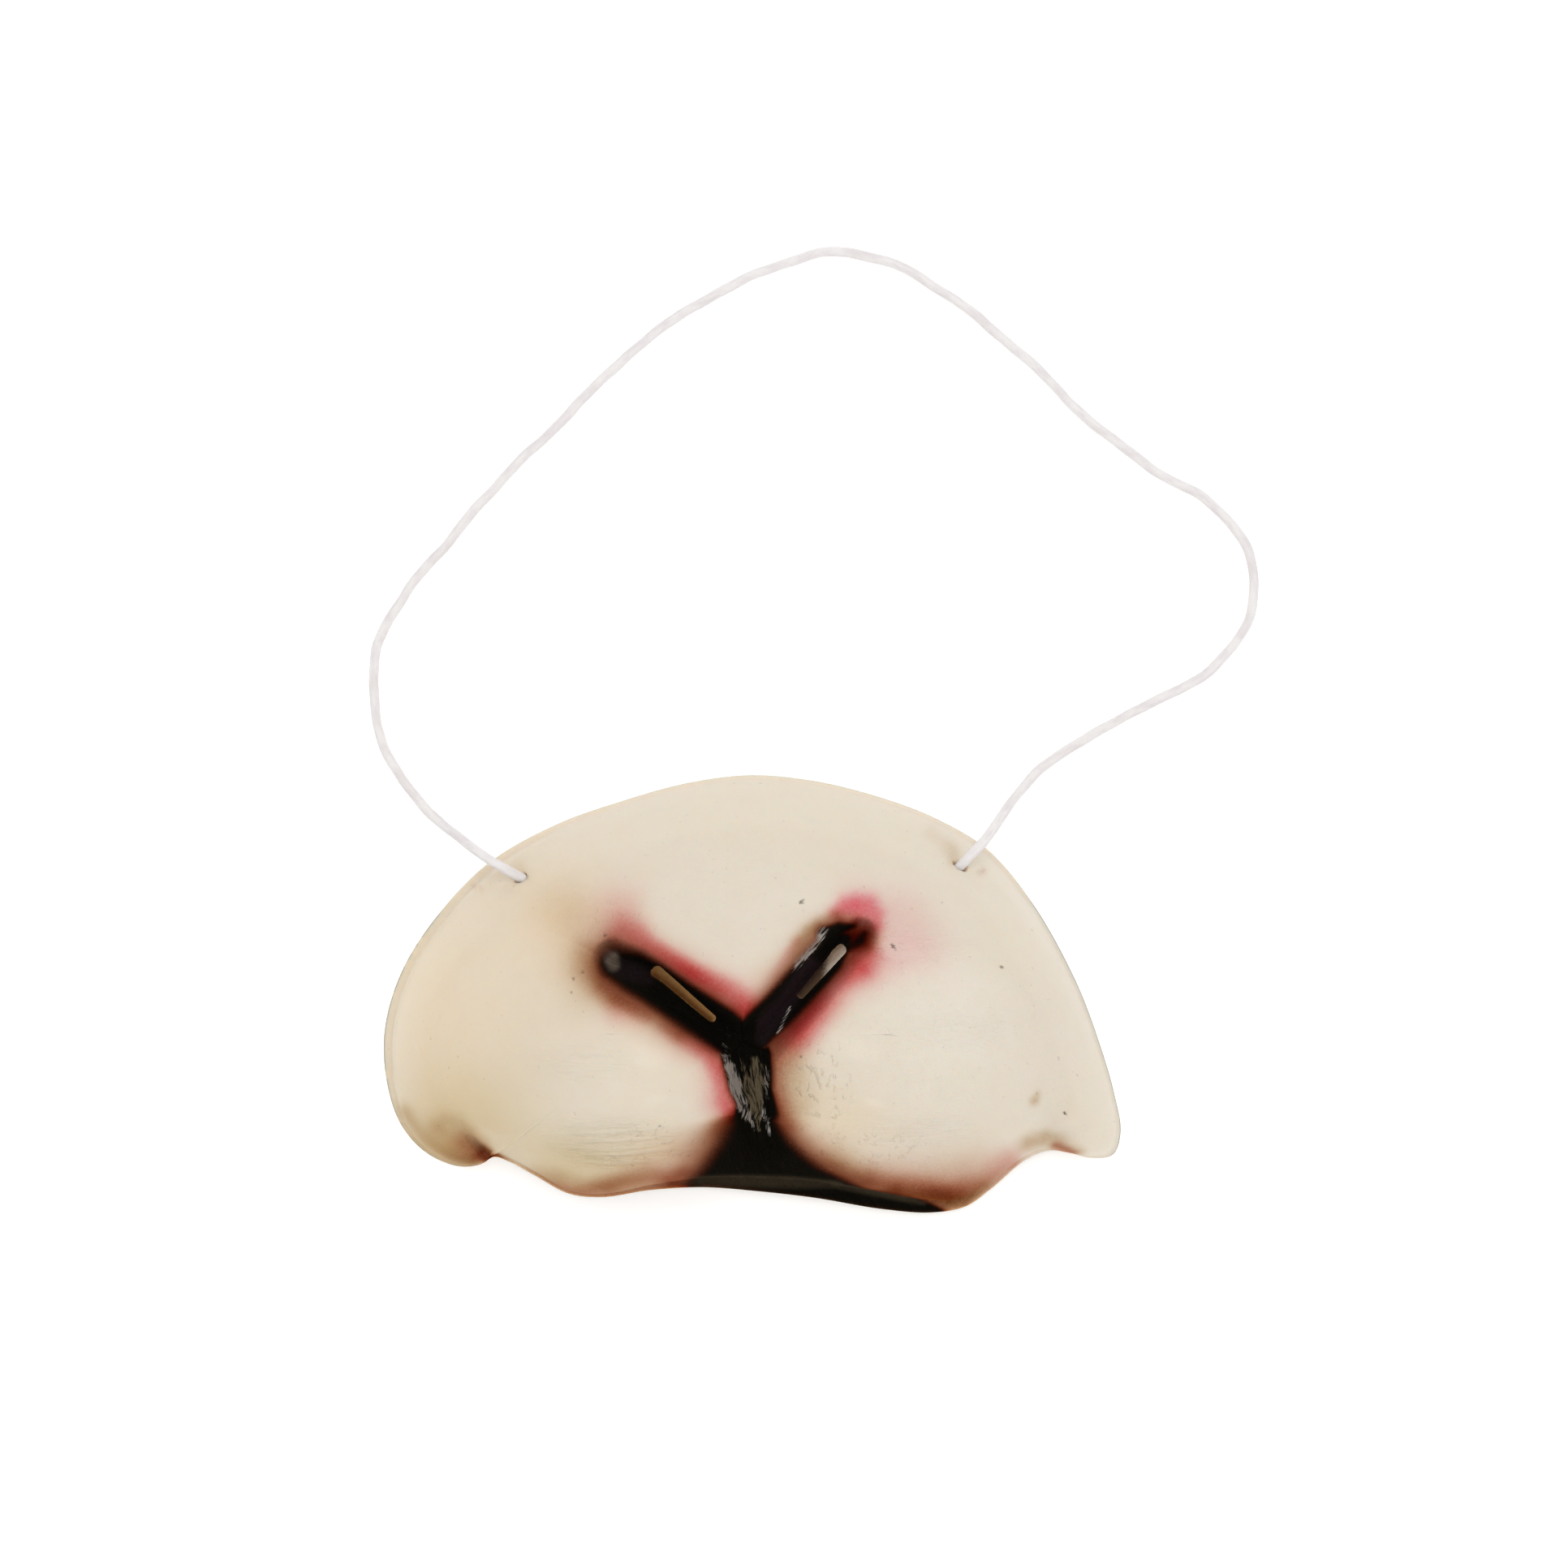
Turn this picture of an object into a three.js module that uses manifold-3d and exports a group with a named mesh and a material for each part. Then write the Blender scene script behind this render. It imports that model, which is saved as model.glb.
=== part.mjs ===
// Costume animal nose: a hollow one-piece latex muzzle with a thin elastic loop.
//
// Millimetres, +Z up. The nose lies on its back rim, open side down, as it would on a table:
//   +X across the muzzle, +Y from the upper lip to the bridge, +Z out of the face to the tip.
// The origin is the middle of the underside of the nose. The loop lies on the same surface.
import * as THREE from "three";
import * as BufferGeometryUtils from "three/addons/utils/BufferGeometryUtils.js";
import Module from "manifold-3d";

const wasm = await Module();
wasm.setup();

// ---------------------------------------------------------------- driving dimensions
const WALL = 1.8;              // latex skin
const SPINE = { x0: -20, x1: 20, y: -4 };   // crest line that every rib of the skin starts from
const CREST = { middle: 32.5, ends: 29.5 }; // height of the dome over that line, without the pads
const RIBS = 60;               // ribs from the spine to the upper edge, and as many to the lower
const OUTER_RINGS = 22;
const INNER_RINGS = 13;
const CELL = 0.25;             // raster that the inner skin is worked out on

const CORD_D = 1.5;            // round elastic cord
const HOLE_D = 2.2;            // punched hole that it passes through
const FLOOR_Z = 0.8;           // height of the lying cord's centre line
const KNOT_D = 4.4;            // stopper knots inside the nose
const GAP = 0.35;

const ORIGIN = { x: -0.025, y: 0.237 };        // middle of the outline in the tables' coordinates

// Back rim of the nose. sit: height of the rim over the table; round, full: exponents of the
// rib's profile (higher round = flatter top and steeper side, lower full = fuller shoulder);
// lip: width of the flange along the rim, rise: how much the flange climbs over that width.
const RIM_TOP = [
  { at: "cheek_left_2",  x: -55.5, y: -5.4,  sit: 0.0, round: 2.2, full: 0.66, lip: 1.6, rise: 1.6 },
  { at: "cheek_left_1",  x: -53.0, y: 3.3,   sit: 0.0, round: 2.1, full: 0.68, lip: 1.6, rise: 1.6 },
  { at: "temple_left",   x: -47.4, y: 12.1,  sit: 0.0, round: 2.0, full: 0.72, lip: 1.6, rise: 1.5 },
  { at: "string_left",   x: -39.4, y: 20.1,  sit: 1.6, round: 1.8, full: 0.78, lip: 1.3, rise: 1.3 },
  { at: "brow_left_3",   x: -29.2, y: 25.8,  sit: 3.6, round: 1.7, full: 0.82, lip: 1.0, rise: 1.1 },
  { at: "brow_left_2",   x: -19.6, y: 29.2,  sit: 5.0, round: 1.7, full: 0.84, lip: 0.9, rise: 1.0 },
  { at: "brow_left_1",   x: -9.8,  y: 31.9,  sit: 6.2, round: 1.7, full: 0.85, lip: 0.8, rise: 1.0 },
  { at: "brow_middle",   x: -0.2,  y: 33.1,  sit: 6.5, round: 1.7, full: 0.85, lip: 0.8, rise: 1.0 },
  { at: "brow_right_1",  x: 8.9,   y: 32.3,  sit: 6.2, round: 1.7, full: 0.85, lip: 0.8, rise: 1.0 },
  { at: "brow_right_2",  x: 17.5,  y: 30.3,  sit: 5.4, round: 1.7, full: 0.84, lip: 0.8, rise: 1.0 },
  { at: "brow_right_3",  x: 27.2,  y: 26.8,  sit: 3.6, round: 1.7, full: 0.82, lip: 0.8, rise: 1.0 },
  { at: "string_right",  x: 35.4,  y: 21.9,  sit: 1.8, round: 1.8, full: 0.78, lip: 0.8, rise: 1.0 },
  { at: "cheek_right_1", x: 42.3,  y: 13.8,  sit: 0.0, round: 2.0, full: 0.72, lip: 0.8, rise: 1.0 },
  { at: "cheek_right_2", x: 48.9,  y: 1.9,   sit: 0.0, round: 2.1, full: 0.70, lip: 0.8, rise: 1.0 },
  { at: "cheek_right_3", x: 52.5,  y: -7.6,  sit: 0.0, round: 2.0, full: 0.72, lip: 0.8, rise: 1.0 },
  { at: "cheek_right_4", x: 54.7,  y: -15.2, sit: 0.0, round: 2.0, full: 0.75, lip: 0.8, rise: 1.0 },
];
const RIM_BOTTOM = [
  RIM_TOP[0],
  { at: "cheek_left_3",   x: -55.2, y: -13.0, sit: 0.0, round: 2.2, full: 0.66, lip: 1.4, rise: 1.6 },
  { at: "cheek_left_4",   x: -53.1, y: -19.5, sit: 0.0, round: 2.1, full: 0.68, lip: 1.0, rise: 1.6 },
  { at: "lobe_left_3",    x: -49.3, y: -23.8, sit: 0.0, round: 2.1, full: 0.70, lip: 0.8, rise: 1.6 },
  { at: "lobe_left_2",    x: -44.4, y: -25.9, sit: 0.0, round: 2.1, full: 0.68, lip: 0.8, rise: 1.6 },
  { at: "lobe_left_1",    x: -41.0, y: -25.6, sit: 0.4, round: 2.2, full: 0.66, lip: 0.8, rise: 1.4 },
  { at: "notch_left_2",   x: -38.9, y: -24.4, sit: 1.2, round: 2.3, full: 0.64, lip: 0.8, rise: 1.2 },
  { at: "notch_left_1",   x: -36.7, y: -25.0, sit: 2.0, round: 2.5, full: 0.62, lip: 0.8, rise: 1.0 },
  { at: "pad_left",       x: -32.9, y: -27.0, sit: 2.4, round: 2.8, full: 0.58, lip: 0.8, rise: 1.0 },
  { at: "lip_left_1",     x: -27.6, y: -29.8, sit: 2.8, round: 3.0, full: 0.55, lip: 0.8, rise: 1.0 },
  { at: "lip_left_2",     x: -22.5, y: -30.3, sit: 3.2, round: 3.1, full: 0.54, lip: 0.9, rise: 1.0 },
  { at: "lip_left_3",     x: -15.4, y: -29.2, sit: 3.8, round: 3.1, full: 0.54, lip: 1.2, rise: 1.4 },
  { at: "lip_left_4",     x: -7.5,  y: -28.7, sit: 4.4, round: 3.0, full: 0.56, lip: 1.8, rise: 2.0 },
  { at: "lip_middle",     x: 1.0,   y: -29.3, sit: 4.6, round: 3.0, full: 0.58, lip: 2.4, rise: 2.6 },
  { at: "lip_right_4",    x: 9.5,   y: -30.3, sit: 4.4, round: 3.0, full: 0.56, lip: 3.0, rise: 3.0 },
  { at: "lip_right_3",    x: 19.3,  y: -32.0, sit: 3.8, round: 3.1, full: 0.54, lip: 3.4, rise: 3.2 },
  { at: "lip_right_2",    x: 26.9,  y: -32.6, sit: 3.2, round: 3.0, full: 0.54, lip: 2.8, rise: 3.0 },
  { at: "lip_right_1",    x: 32.1,  y: -31.7, sit: 3.0, round: 2.9, full: 0.56, lip: 1.8, rise: 2.2 },
  { at: "pad_right",      x: 36.0,  y: -29.0, sit: 2.8, round: 2.7, full: 0.58, lip: 1.0, rise: 1.4 },
  { at: "notch_right_3",  x: 40.9,  y: -24.9, sit: 2.4, round: 2.4, full: 0.65, lip: 0.8, rise: 1.0 },
  { at: "notch_right_2",  x: 44.6,  y: -23.4, sit: 2.0, round: 2.2, full: 0.69, lip: 0.8, rise: 1.0 },
  { at: "notch_right_1",  x: 47.8,  y: -23.8, sit: 1.2, round: 2.1, full: 0.72, lip: 0.8, rise: 1.0 },
  { at: "corner_right_3", x: 51.1,  y: -24.6, sit: 0.4, round: 2.0, full: 0.74, lip: 0.8, rise: 1.0 },
  { at: "corner_right_2", x: 54.4,  y: -24.2, sit: 0.0, round: 1.95, full: 0.76, lip: 0.8, rise: 1.0 },
  { at: "corner_right_1", x: 55.6,  y: -20.8, sit: 0.0, round: 1.95, full: 0.76, lip: 0.8, rise: 1.0 },
  RIM_TOP[RIM_TOP.length - 1],
];

// Raised forms: along, across: half sizes; turn: degrees; high: height; flat: flatness of the top.
const SWELLS = [
  { at: "pad_left",    x: -20.0, y: -10.6, along: 17.5, across: 13.2, turn: -24, high: 7.2, flat: 1.35 },
  { at: "pad_right",   x: 21.5,  y: -10.8, along: 19.0, across: 14.6, turn: -12, high: 8.0, flat: 1.35 },
  { at: "nose_tip",    x: -0.2,  y: 5.0,   along: 10.5, across: 9.0,  turn: 0,   high: 3.6, flat: 1.10 },
  { at: "bridge",      x: -0.8,  y: 17.0,  along: 13.0, across: 12.0, turn: 0,   high: 1.6, flat: 1.10 },
  { at: "cheek_left",  x: -42.0, y: -3.0,  along: 10.0, across: 14.0, turn: 0,   high: 1.2, flat: 1.10 },
  { at: "cheek_right", x: 42.0,  y: -6.0,  along: 9.0,  across: 13.0, turn: 12,  high: 1.0, flat: 1.10 },
];

// Painted grooves: deep: depth; wide: width at the top; the wall takes the share `wall` of it.
const GROOVES = [
  { at: "nostril_left", wall: 0.55, points: [
    { x: -20.3, y: 6.6, wide: 6.0, deep: 3.6 }, { x: -16.6, y: 4.8, wide: 6.8, deep: 5.6 },
    { x: -11.2, y: 1.2, wide: 7.0, deep: 6.2 }, { x: -5.6, y: -3.0, wide: 6.6, deep: 5.8 },
    { x: -1.2, y: -6.4, wide: 6.2, deep: 4.6 } ] },
  { at: "nostril_right", wall: 0.55, points: [
    { x: 15.9, y: 9.8, wide: 5.8, deep: 3.6 }, { x: 12.6, y: 6.6, wide: 6.6, deep: 5.6 },
    { x: 8.4, y: 1.8, wide: 6.8, deep: 6.2 }, { x: 4.2, y: -2.8, wide: 6.4, deep: 5.6 },
    { x: 1.0, y: -6.6, wide: 6.2, deep: 4.6 } ] },
  { at: "philtrum", wall: 0.42, points: [
    { x: -0.3, y: -5.6, wide: 8.0, deep: 4.6 }, { x: -0.1, y: -9.6, wide: 7.8, deep: 5.4 },
    { x: 0.6, y: -14.4, wide: 6.6, deep: 5.8 }, { x: 1.4, y: -18.8, wide: 6.4, deep: 6.0 },
    { x: 1.6, y: -22.6, wide: 9.5, deep: 5.6 }, { x: 1.8, y: -26.2, wide: 15.0, deep: 3.2 } ] },
];

// Soft valleys beside the bridge, and the creases at the two notches of the rim.
const VALLEYS = [
  { at: "valley_left",  wide: 6.5, points: [
    { x: -21.5, y: 8.6, deep: 1.6 }, { x: -27.0, y: 11.4, deep: 1.5 }, { x: -33.0, y: 14.2, deep: 0.5 } ] },
  { at: "valley_right", wide: 6.0, points: [
    { x: 17.4, y: 12.0, deep: 1.7 }, { x: 25.0, y: 9.6, deep: 1.5 }, { x: 34.0, y: 5.4, deep: 0.5 } ] },
];
const CREASES = [
  { at: "crease_left",  wide: 5.0, points: [
    { x: -38.4, y: -24.8, deep: 0.40 }, { x: -40.6, y: -22.4, deep: 0.42 },
    { x: -43.6, y: -19.8, deep: 0.26 }, { x: -46.6, y: -17.6, deep: 0.04 } ] },
  { at: "crease_right", wide: 6.0, points: [
    { x: 45.6, y: -24.4, deep: 0.34 }, { x: 44.4, y: -20.4, deep: 0.28 }, { x: 42.4, y: -14.8, deep: 0.04 } ] },
];

// Breathing slits through the floor of the two nostrils.
const SLITS = [
  { at: "slit_left",  x0: -14.2, y0: 5.1, x1: -5.2, y1: -2.4, wide: 1.5 },
  { at: "slit_right", x0: 13.6,  y0: 8.2, x1: 6.9,  y1: 0.9,  wide: 1.4 },
];

// The loop. Each end leaves the skin at the first row, steeper than level by `climb` degrees,
// and `lift` is the share of the exit's height that it still has at a row.
const STRING_LEFT = { climb: 20, rows: [
  { x: -34.5, y: 17.9, lift: 1.0 }, { x: -38.8, y: 20.4, lift: 1.06 }, { x: -41.6, y: 22.2, lift: 0.78 },
  { x: -44.3, y: 24.1, lift: 0.38 }, { x: -46.9, y: 26.0, lift: 0.09 } ] };
const STRING_RIGHT = { climb: 20, rows: [
  { x: 31.1, y: 19.7, lift: 1.0 }, { x: 34.5, y: 23.3, lift: 1.06 }, { x: 36.6, y: 26.0, lift: 0.78 },
  { x: 38.6, y: 28.7, lift: 0.38 }, { x: 40.6, y: 31.1, lift: 0.09 } ] };
const LOOP = [
  { x: -49.9, y: 28.7 }, { x: -53.2, y: 33.2 }, { x: -55.9, y: 38.6 }, { x: -57.1, y: 45.4 },
  { x: -56.4, y: 52.8 }, { x: -52.4, y: 60.4 }, { x: -46.5, y: 67.5 }, { x: -38.4, y: 77.0 },
  { x: -28.3, y: 87.0 }, { x: -18.4, y: 96.8 }, { x: -7.8, y: 104.4 }, { x: 2.0, y: 109.2 },
  { x: 11.8, y: 112.0 }, { x: 21.5, y: 110.1 }, { x: 31.3, y: 104.2 }, { x: 41.1, y: 96.1 },
  { x: 50.9, y: 86.6 }, { x: 60.7, y: 79.1 }, { x: 68.4, y: 74.6 }, { x: 73.6, y: 69.2 },
  { x: 75.7, y: 62.3 }, { x: 74.6, y: 56.2 }, { x: 69.6, y: 49.4 }, { x: 62.2, y: 45.0 },
  { x: 52.4, y: 40.0 }, { x: 47.2, y: 36.7 }, { x: 43.0, y: 33.6 },
];

// ---------------------------------------------------------------- small helpers
const clamp = (v, a, b) => Math.min(b, Math.max(a, v));
const mix = (a, b, s) => a + (b - a) * s;
const ease = (a, b, v) => { const s = clamp((v - a) / (b - a), 0, 1); return s * s * (3 - 2 * s); };

// A curve through the rows of a table: every named column runs smoothly from row to row.
function rowCurve(rows, columns, start, end) {
  const key = [0];
  for (let i = 1; i < rows.length; i++) {
    key.push(key[i - 1] + Math.sqrt(Math.hypot(rows[i].x - rows[i - 1].x, rows[i].y - rows[i - 1].y)));
  }
  const total = key[key.length - 1];
  const value = (row, c) => row[c];
  const slope = {};
  for (const c of columns) {
    slope[c] = rows.map((row, i) => {
      const before = i > 0 ? rows[i - 1] : start;
      const after = i < rows.length - 1 ? rows[i + 1] : end;
      const h0 = Math.sqrt(Math.hypot(row.x - before.x, row.y - before.y));
      const h1 = Math.sqrt(Math.hypot(after.x - row.x, after.y - row.y));
      const d0 = (value(row, c) - value(before, c)) / h0;
      const d1 = (value(after, c) - value(row, c)) / h1;
      return (d0 * h1 + d1 * h0) / (h0 + h1);
    });
  }
  return (t) => {
    const k = clamp(t, 0, 1) * total;
    let i = 0;
    while (i < rows.length - 2 && key[i + 1] < k) i++;
    const h = key[i + 1] - key[i];
    const s = (k - key[i]) / h;
    const a = 2 * s ** 3 - 3 * s ** 2 + 1, b = s ** 3 - 2 * s ** 2 + s;
    const c2 = -2 * s ** 3 + 3 * s ** 2, d = s ** 3 - s ** 2;
    const out = {};
    for (const c of columns) {
      out[c] = a * rows[i][c] + b * h * slope[c][i] + c2 * rows[i + 1][c] + d * h * slope[c][i + 1];
    }
    out.sit = Math.max(0, out.sit);
    return out;
  };
}
const COLUMNS = ["x", "y", "sit", "round", "full", "lip", "rise"];
const rimTop = rowCurve(RIM_TOP, COLUMNS, RIM_BOTTOM[1], RIM_BOTTOM[RIM_BOTTOM.length - 2]);
const rimBottom = rowCurve(RIM_BOTTOM, COLUMNS, RIM_TOP[1], RIM_TOP[RIM_TOP.length - 2]);

// Nearest place on a polyline: the distance, and the columns there.
function nearest(points, x, y) {
  let best = null;
  for (let i = 0; i < points.length - 1; i++) {
    const a = points[i], b = points[i + 1];
    const dx = b.x - a.x, dy = b.y - a.y;
    const s = clamp(((x - a.x) * dx + (y - a.y) * dy) / (dx * dx + dy * dy), 0, 1);
    const d = Math.hypot(x - a.x - s * dx, y - a.y - s * dy);
    if (!best || d < best.d) {
      best = { d, deep: mix(a.deep, b.deep, s), wide: a.wide === undefined ? 0 : mix(a.wide, b.wide, s) };
    }
  }
  return best;
}
const softMax = (list, k) => {
  const top = Math.max(...list);
  return top + k * Math.log(list.reduce((sum, v) => sum + Math.exp((v - top) / k), 0)) - k * Math.log(list.length);
};

// ---------------------------------------------------------------- the outer skin
function forms(x, y) {
  let z = 0;
  for (const f of SWELLS) {
    const a = (f.turn * Math.PI) / 180;
    const u = (x - f.x) * Math.cos(a) + (y - f.y) * Math.sin(a);
    const w = -(x - f.x) * Math.sin(a) + (y - f.y) * Math.cos(a);
    const r2 = (u / f.along) ** 2 + (w / f.across) ** 2;
    z += f.high * Math.exp(-Math.pow(r2, f.flat));
  }
  for (const v of VALLEYS) {
    const n = nearest(v.points, x, y);
    z -= n.deep * Math.exp(-((n.d / v.wide) ** 2) * 2);
  }
  const cuts = GROOVES.map((g) => {
    const n = nearest(g.points, x, y);
    const half = n.wide / 2;
    return n.deep * (1 - ease(half * (1 - g.wall) * 0.6, half * 1.12, n.d));
  });
  return z - Math.max(0, softMax(cuts, 0.35));
}

// Rib `side`, place t along the spine (0 left, 1 right), share v of the way out to the rim.
function skin(side, t, v) {
  const rim = side > 0 ? rimTop(t) : rimBottom(t);
  const s = t * t * (3 - 2 * t);
  const k = { x: mix(SPINE.x0, SPINE.x1, s), y: SPINE.y };
  const x = mix(k.x, rim.x, v), y = mix(k.y, rim.y, v);
  const reach = Math.hypot(rim.x - k.x, rim.y - k.y);
  const edge = 1 - rim.lip / reach;
  const crest = mix(CREST.ends, CREST.middle, 4 * s * (1 - s));
  const foot = rim.sit + rim.rise;
  let z;
  if (v >= edge) {
    z = mix(foot, rim.sit, (v - edge) / (1 - edge));
  } else {
    const dome = Math.pow(Math.max(0, 1 - Math.pow(v / edge, rim.round)), rim.full);
    let high = (crest - foot) * dome + forms(x, y) * ease(0, 0.45, dome);
    for (const c of CREASES) {
      const n = nearest(c.points, x, y);
      high *= 1 - n.deep * Math.exp(-((n.d / (c.wide / 2)) ** 2));
    }
    z = foot + Math.max(0, high);
  }
  return { x, y, z, reach, rim, k };
}

// ---------------------------------------------------------------- the inner skin
// Raster of the outer skin's height, then the height under which a ball of the wall's thickness
// stays inside it: that is a skin of even thickness.
const X0 = -60, Y0 = -37, NX = Math.round(120 / CELL), NY = Math.round(74 / CELL);
const high = new Float64Array(NX * NY).fill(-60);
{
  const sum = new Float64Array(NX * NY), count = new Float64Array(NX * NY);
  for (const side of [1, -1]) {
    for (let i = 0; i <= 1100; i++) {
      for (let j = 0; j <= 260; j++) {
        const p = skin(side, i / 1100, j / 260);
        const c = Math.floor((p.y - Y0) / CELL) * NX + Math.floor((p.x - X0) / CELL);
        sum[c] += p.z;
        count[c] += 1;
      }
    }
  }
  for (let c = 0; c < NX * NY; c++) if (count[c]) high[c] = sum[c] / count[c];
}
const under = new Float64Array(NX * NY).fill(1e9);
{
  const n = Math.ceil(WALL / CELL);
  for (let dy = -n; dy <= n; dy++) {
    for (let dx = -n; dx <= n; dx++) {
      const d2 = (dx * CELL) ** 2 + (dy * CELL) ** 2;
      if (d2 > WALL * WALL) continue;
      const sag = Math.sqrt(WALL * WALL - d2);
      for (let r = n; r < NY - n; r++) {
        for (let c = n; c < NX - n; c++) {
          const z = high[(r + dy) * NX + c + dx] - sag;
          if (z < under[r * NX + c]) under[r * NX + c] = z;
        }
      }
    }
  }
}
function raster(grid, x, y) {
  const fx = (x - X0) / CELL - 0.5, fy = (y - Y0) / CELL - 0.5;
  const c = Math.floor(fx), r = Math.floor(fy), a = fx - c, b = fy - r;
  return mix(mix(grid[r * NX + c], grid[r * NX + c + 1], a),
    mix(grid[(r + 1) * NX + c], grid[(r + 1) * NX + c + 1], a), b);
}
const outerHeight = (x, y) => raster(high, x, y);

// ---------------------------------------------------------------- building the shell mesh
function inward(side, t) {
  // share of the rib at which the inner face meets the rim, one wall inside the outline
  const e = 1e-3;
  const rim = side > 0 ? rimTop : rimBottom;
  const a = rim(Math.max(0, t - e)), b = rim(Math.min(1, t + e)), o = skin(side, t, 1);
  const n = { x: -(b.y - a.y) * side, y: (b.x - a.x) * side };
  const l = Math.hypot(n.x, n.y);
  const ray = { x: (o.x - o.k.x) / o.reach, y: (o.y - o.k.y) / o.reach };
  const facing = Math.max(0.62, (n.x * ray.x + n.y * ray.y) / l);
  return 1 - WALL / facing / o.reach;
}
const outerStep = (j) => { const s = j / OUTER_RINGS; return s + 0.055 * Math.sin(2 * Math.PI * s) * s; };
const innerStep = (j) => { const s = j / INNER_RINGS; return s + 0.1 * Math.sin(Math.PI * s) * s; };

function shellGeometry() {
  const points = [], faces = [];
  const add = (x, y, z) => points.push(x - ORIGIN.x, y - ORIGIN.y, z) / 3 - 1;
  const lines = { outer: new Map(), inner: new Map() };
  // the ribs run round: the upper ones from left to right, then the lower ones back
  const round = [];
  for (let i = 0; i < RIBS; i++) round.push({ side: 1, t: i / RIBS });
  for (let i = RIBS; i > 0; i--) round.push({ side: -1, t: i / RIBS });
  for (const [name, rings] of [["outer", OUTER_RINGS], ["inner", INNER_RINGS]]) {
    const spine = [];
    for (let i = 0; i <= RIBS; i++) {
      const p = skin(1, i / RIBS, 0);
      spine.push(add(p.x, p.y, name === "outer" ? p.z : raster(under, p.x, p.y)));
    }
    const ribs = round.map(({ side, t }) => {
      const line = [spine[Math.round(t * RIBS)]];
      const share = name === "inner" ? inward(side, t) : 1;
      for (let j = 1; j <= rings; j++) {
        const v = (name === "outer" ? outerStep(j) : innerStep(j)) * share;
        const p = skin(side, t, v);
        let z = p.z;
        if (name === "inner") z = j === rings ? p.rim.sit : Math.max(p.rim.sit + 0.02 * (rings - j), raster(under, p.x, p.y));
        line.push(add(p.x, p.y, z));
      }
      return line;
    });
    const flip = name === "inner";
    const tri = (a, b, c) => { if (a !== b && b !== c && a !== c) faces.push(...(flip ? [a, c, b] : [a, b, c])); };
    for (let i = 0; i < ribs.length; i++) {
      const p = ribs[i], q = ribs[(i + 1) % ribs.length];
      for (let j = 0; j < rings; j++) {
        // the diagonal that lies closer to the true surface
        const at = (v, k) => points[3 * v + k] + (k === 0 ? ORIGIN.x : k === 1 ? ORIGIN.y : 0);
        const gap = (a, b) => Math.abs((at(a, 2) + at(b, 2)) / 2
          - raster(name === "outer" ? high : under, (at(a, 0) + at(b, 0)) / 2, (at(a, 1) + at(b, 1)) / 2));
        const first = j === rings - 1 ? (i + j) % 2 : gap(p[j], q[j + 1]) < gap(q[j], p[j + 1]);
        if (first) { tri(p[j], q[j], q[j + 1]); tri(p[j], q[j + 1], p[j + 1]); }
        else { tri(p[j], q[j], p[j + 1]); tri(q[j], q[j + 1], p[j + 1]); }
      }
    }
    lines[name] = ribs.map((line) => line[rings]);
  }
  for (let i = 0; i < lines.outer.length; i++) {
    const n = (i + 1) % lines.outer.length;
    const a = lines.outer[i], b = lines.outer[n], c = lines.inner[i], d = lines.inner[n];
    faces.push(a, b, d, a, d, c);
  }
  const g = new THREE.BufferGeometry();
  g.setAttribute("position", new THREE.Float32BufferAttribute(points, 3));
  g.setIndex(faces);
  return g;
}

// ---------------------------------------------------------------- solids
function toSolid(geometry) {
  const g = geometry.clone();
  g.deleteAttribute("normal");
  g.deleteAttribute("uv");
  const m = BufferGeometryUtils.mergeVertices(g, 1e-4);
  return new wasm.Manifold(new wasm.Mesh({
    numProp: 3,
    vertProperties: Float32Array.from(m.attributes.position.array),
    triVerts: Uint32Array.from(m.index.array),
  }));
}
function toGeometry(solid) {
  const mesh = solid.getMesh();
  const g = new THREE.BufferGeometry();
  g.setAttribute("position", new THREE.BufferAttribute(Float32Array.from(mesh.vertProperties), 3));
  g.setIndex(new THREE.BufferAttribute(Uint32Array.from(mesh.triVerts), 1));
  g.computeVertexNormals();
  return g;
}
function slitCutter({ x0, y0, x1, y1, wide }) {
  const long = Math.hypot(x1 - x0, y1 - y0), r = wide / 2;
  const outline = new THREE.Shape();
  outline.absarc(long / 2 - r, 0, r, -Math.PI / 2, Math.PI / 2, false);
  outline.absarc(-long / 2 + r, 0, r, Math.PI / 2, (3 * Math.PI) / 2, false);
  outline.closePath();
  const g = new THREE.ExtrudeGeometry(outline, { depth: 60, bevelEnabled: false, curveSegments: 6 });
  g.rotateZ(Math.atan2(y1 - y0, x1 - x0));
  g.translate((x0 + x1) / 2 - ORIGIN.x, (y0 + y1) / 2 - ORIGIN.y, -5);
  return g;
}

// Where a cord end passes the skin: the point on the outer face, and the direction it leaves in.
function exitOf(s) {
  const [a, b] = s.rows, up = Math.tan((s.climb * Math.PI) / 180) * Math.hypot(b.x - a.x, b.y - a.y);
  const dir = new THREE.Vector3(b.x - a.x, b.y - a.y, up).normalize();
  const point = new THREE.Vector3(a.x - ORIGIN.x, a.y - ORIGIN.y, outerHeight(a.x, a.y));
  return { dir, point };
}
const left = exitOf(STRING_LEFT), right = exitOf(STRING_RIGHT);
function holeCutter(exit) {
  const g = new THREE.CylinderGeometry(HOLE_D / 2, HOLE_D / 2, 16, 16);
  g.applyQuaternion(new THREE.Quaternion().setFromUnitVectors(new THREE.Vector3(0, 1, 0), exit.dir));
  g.translate(exit.point.x, exit.point.y, exit.point.z);
  return g;
}

let shell = toSolid(shellGeometry());
for (const s of SLITS) shell = shell.subtract(toSolid(slitCutter(s)));
for (const e of [left, right]) shell = shell.subtract(toSolid(holeCutter(e)));

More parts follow.
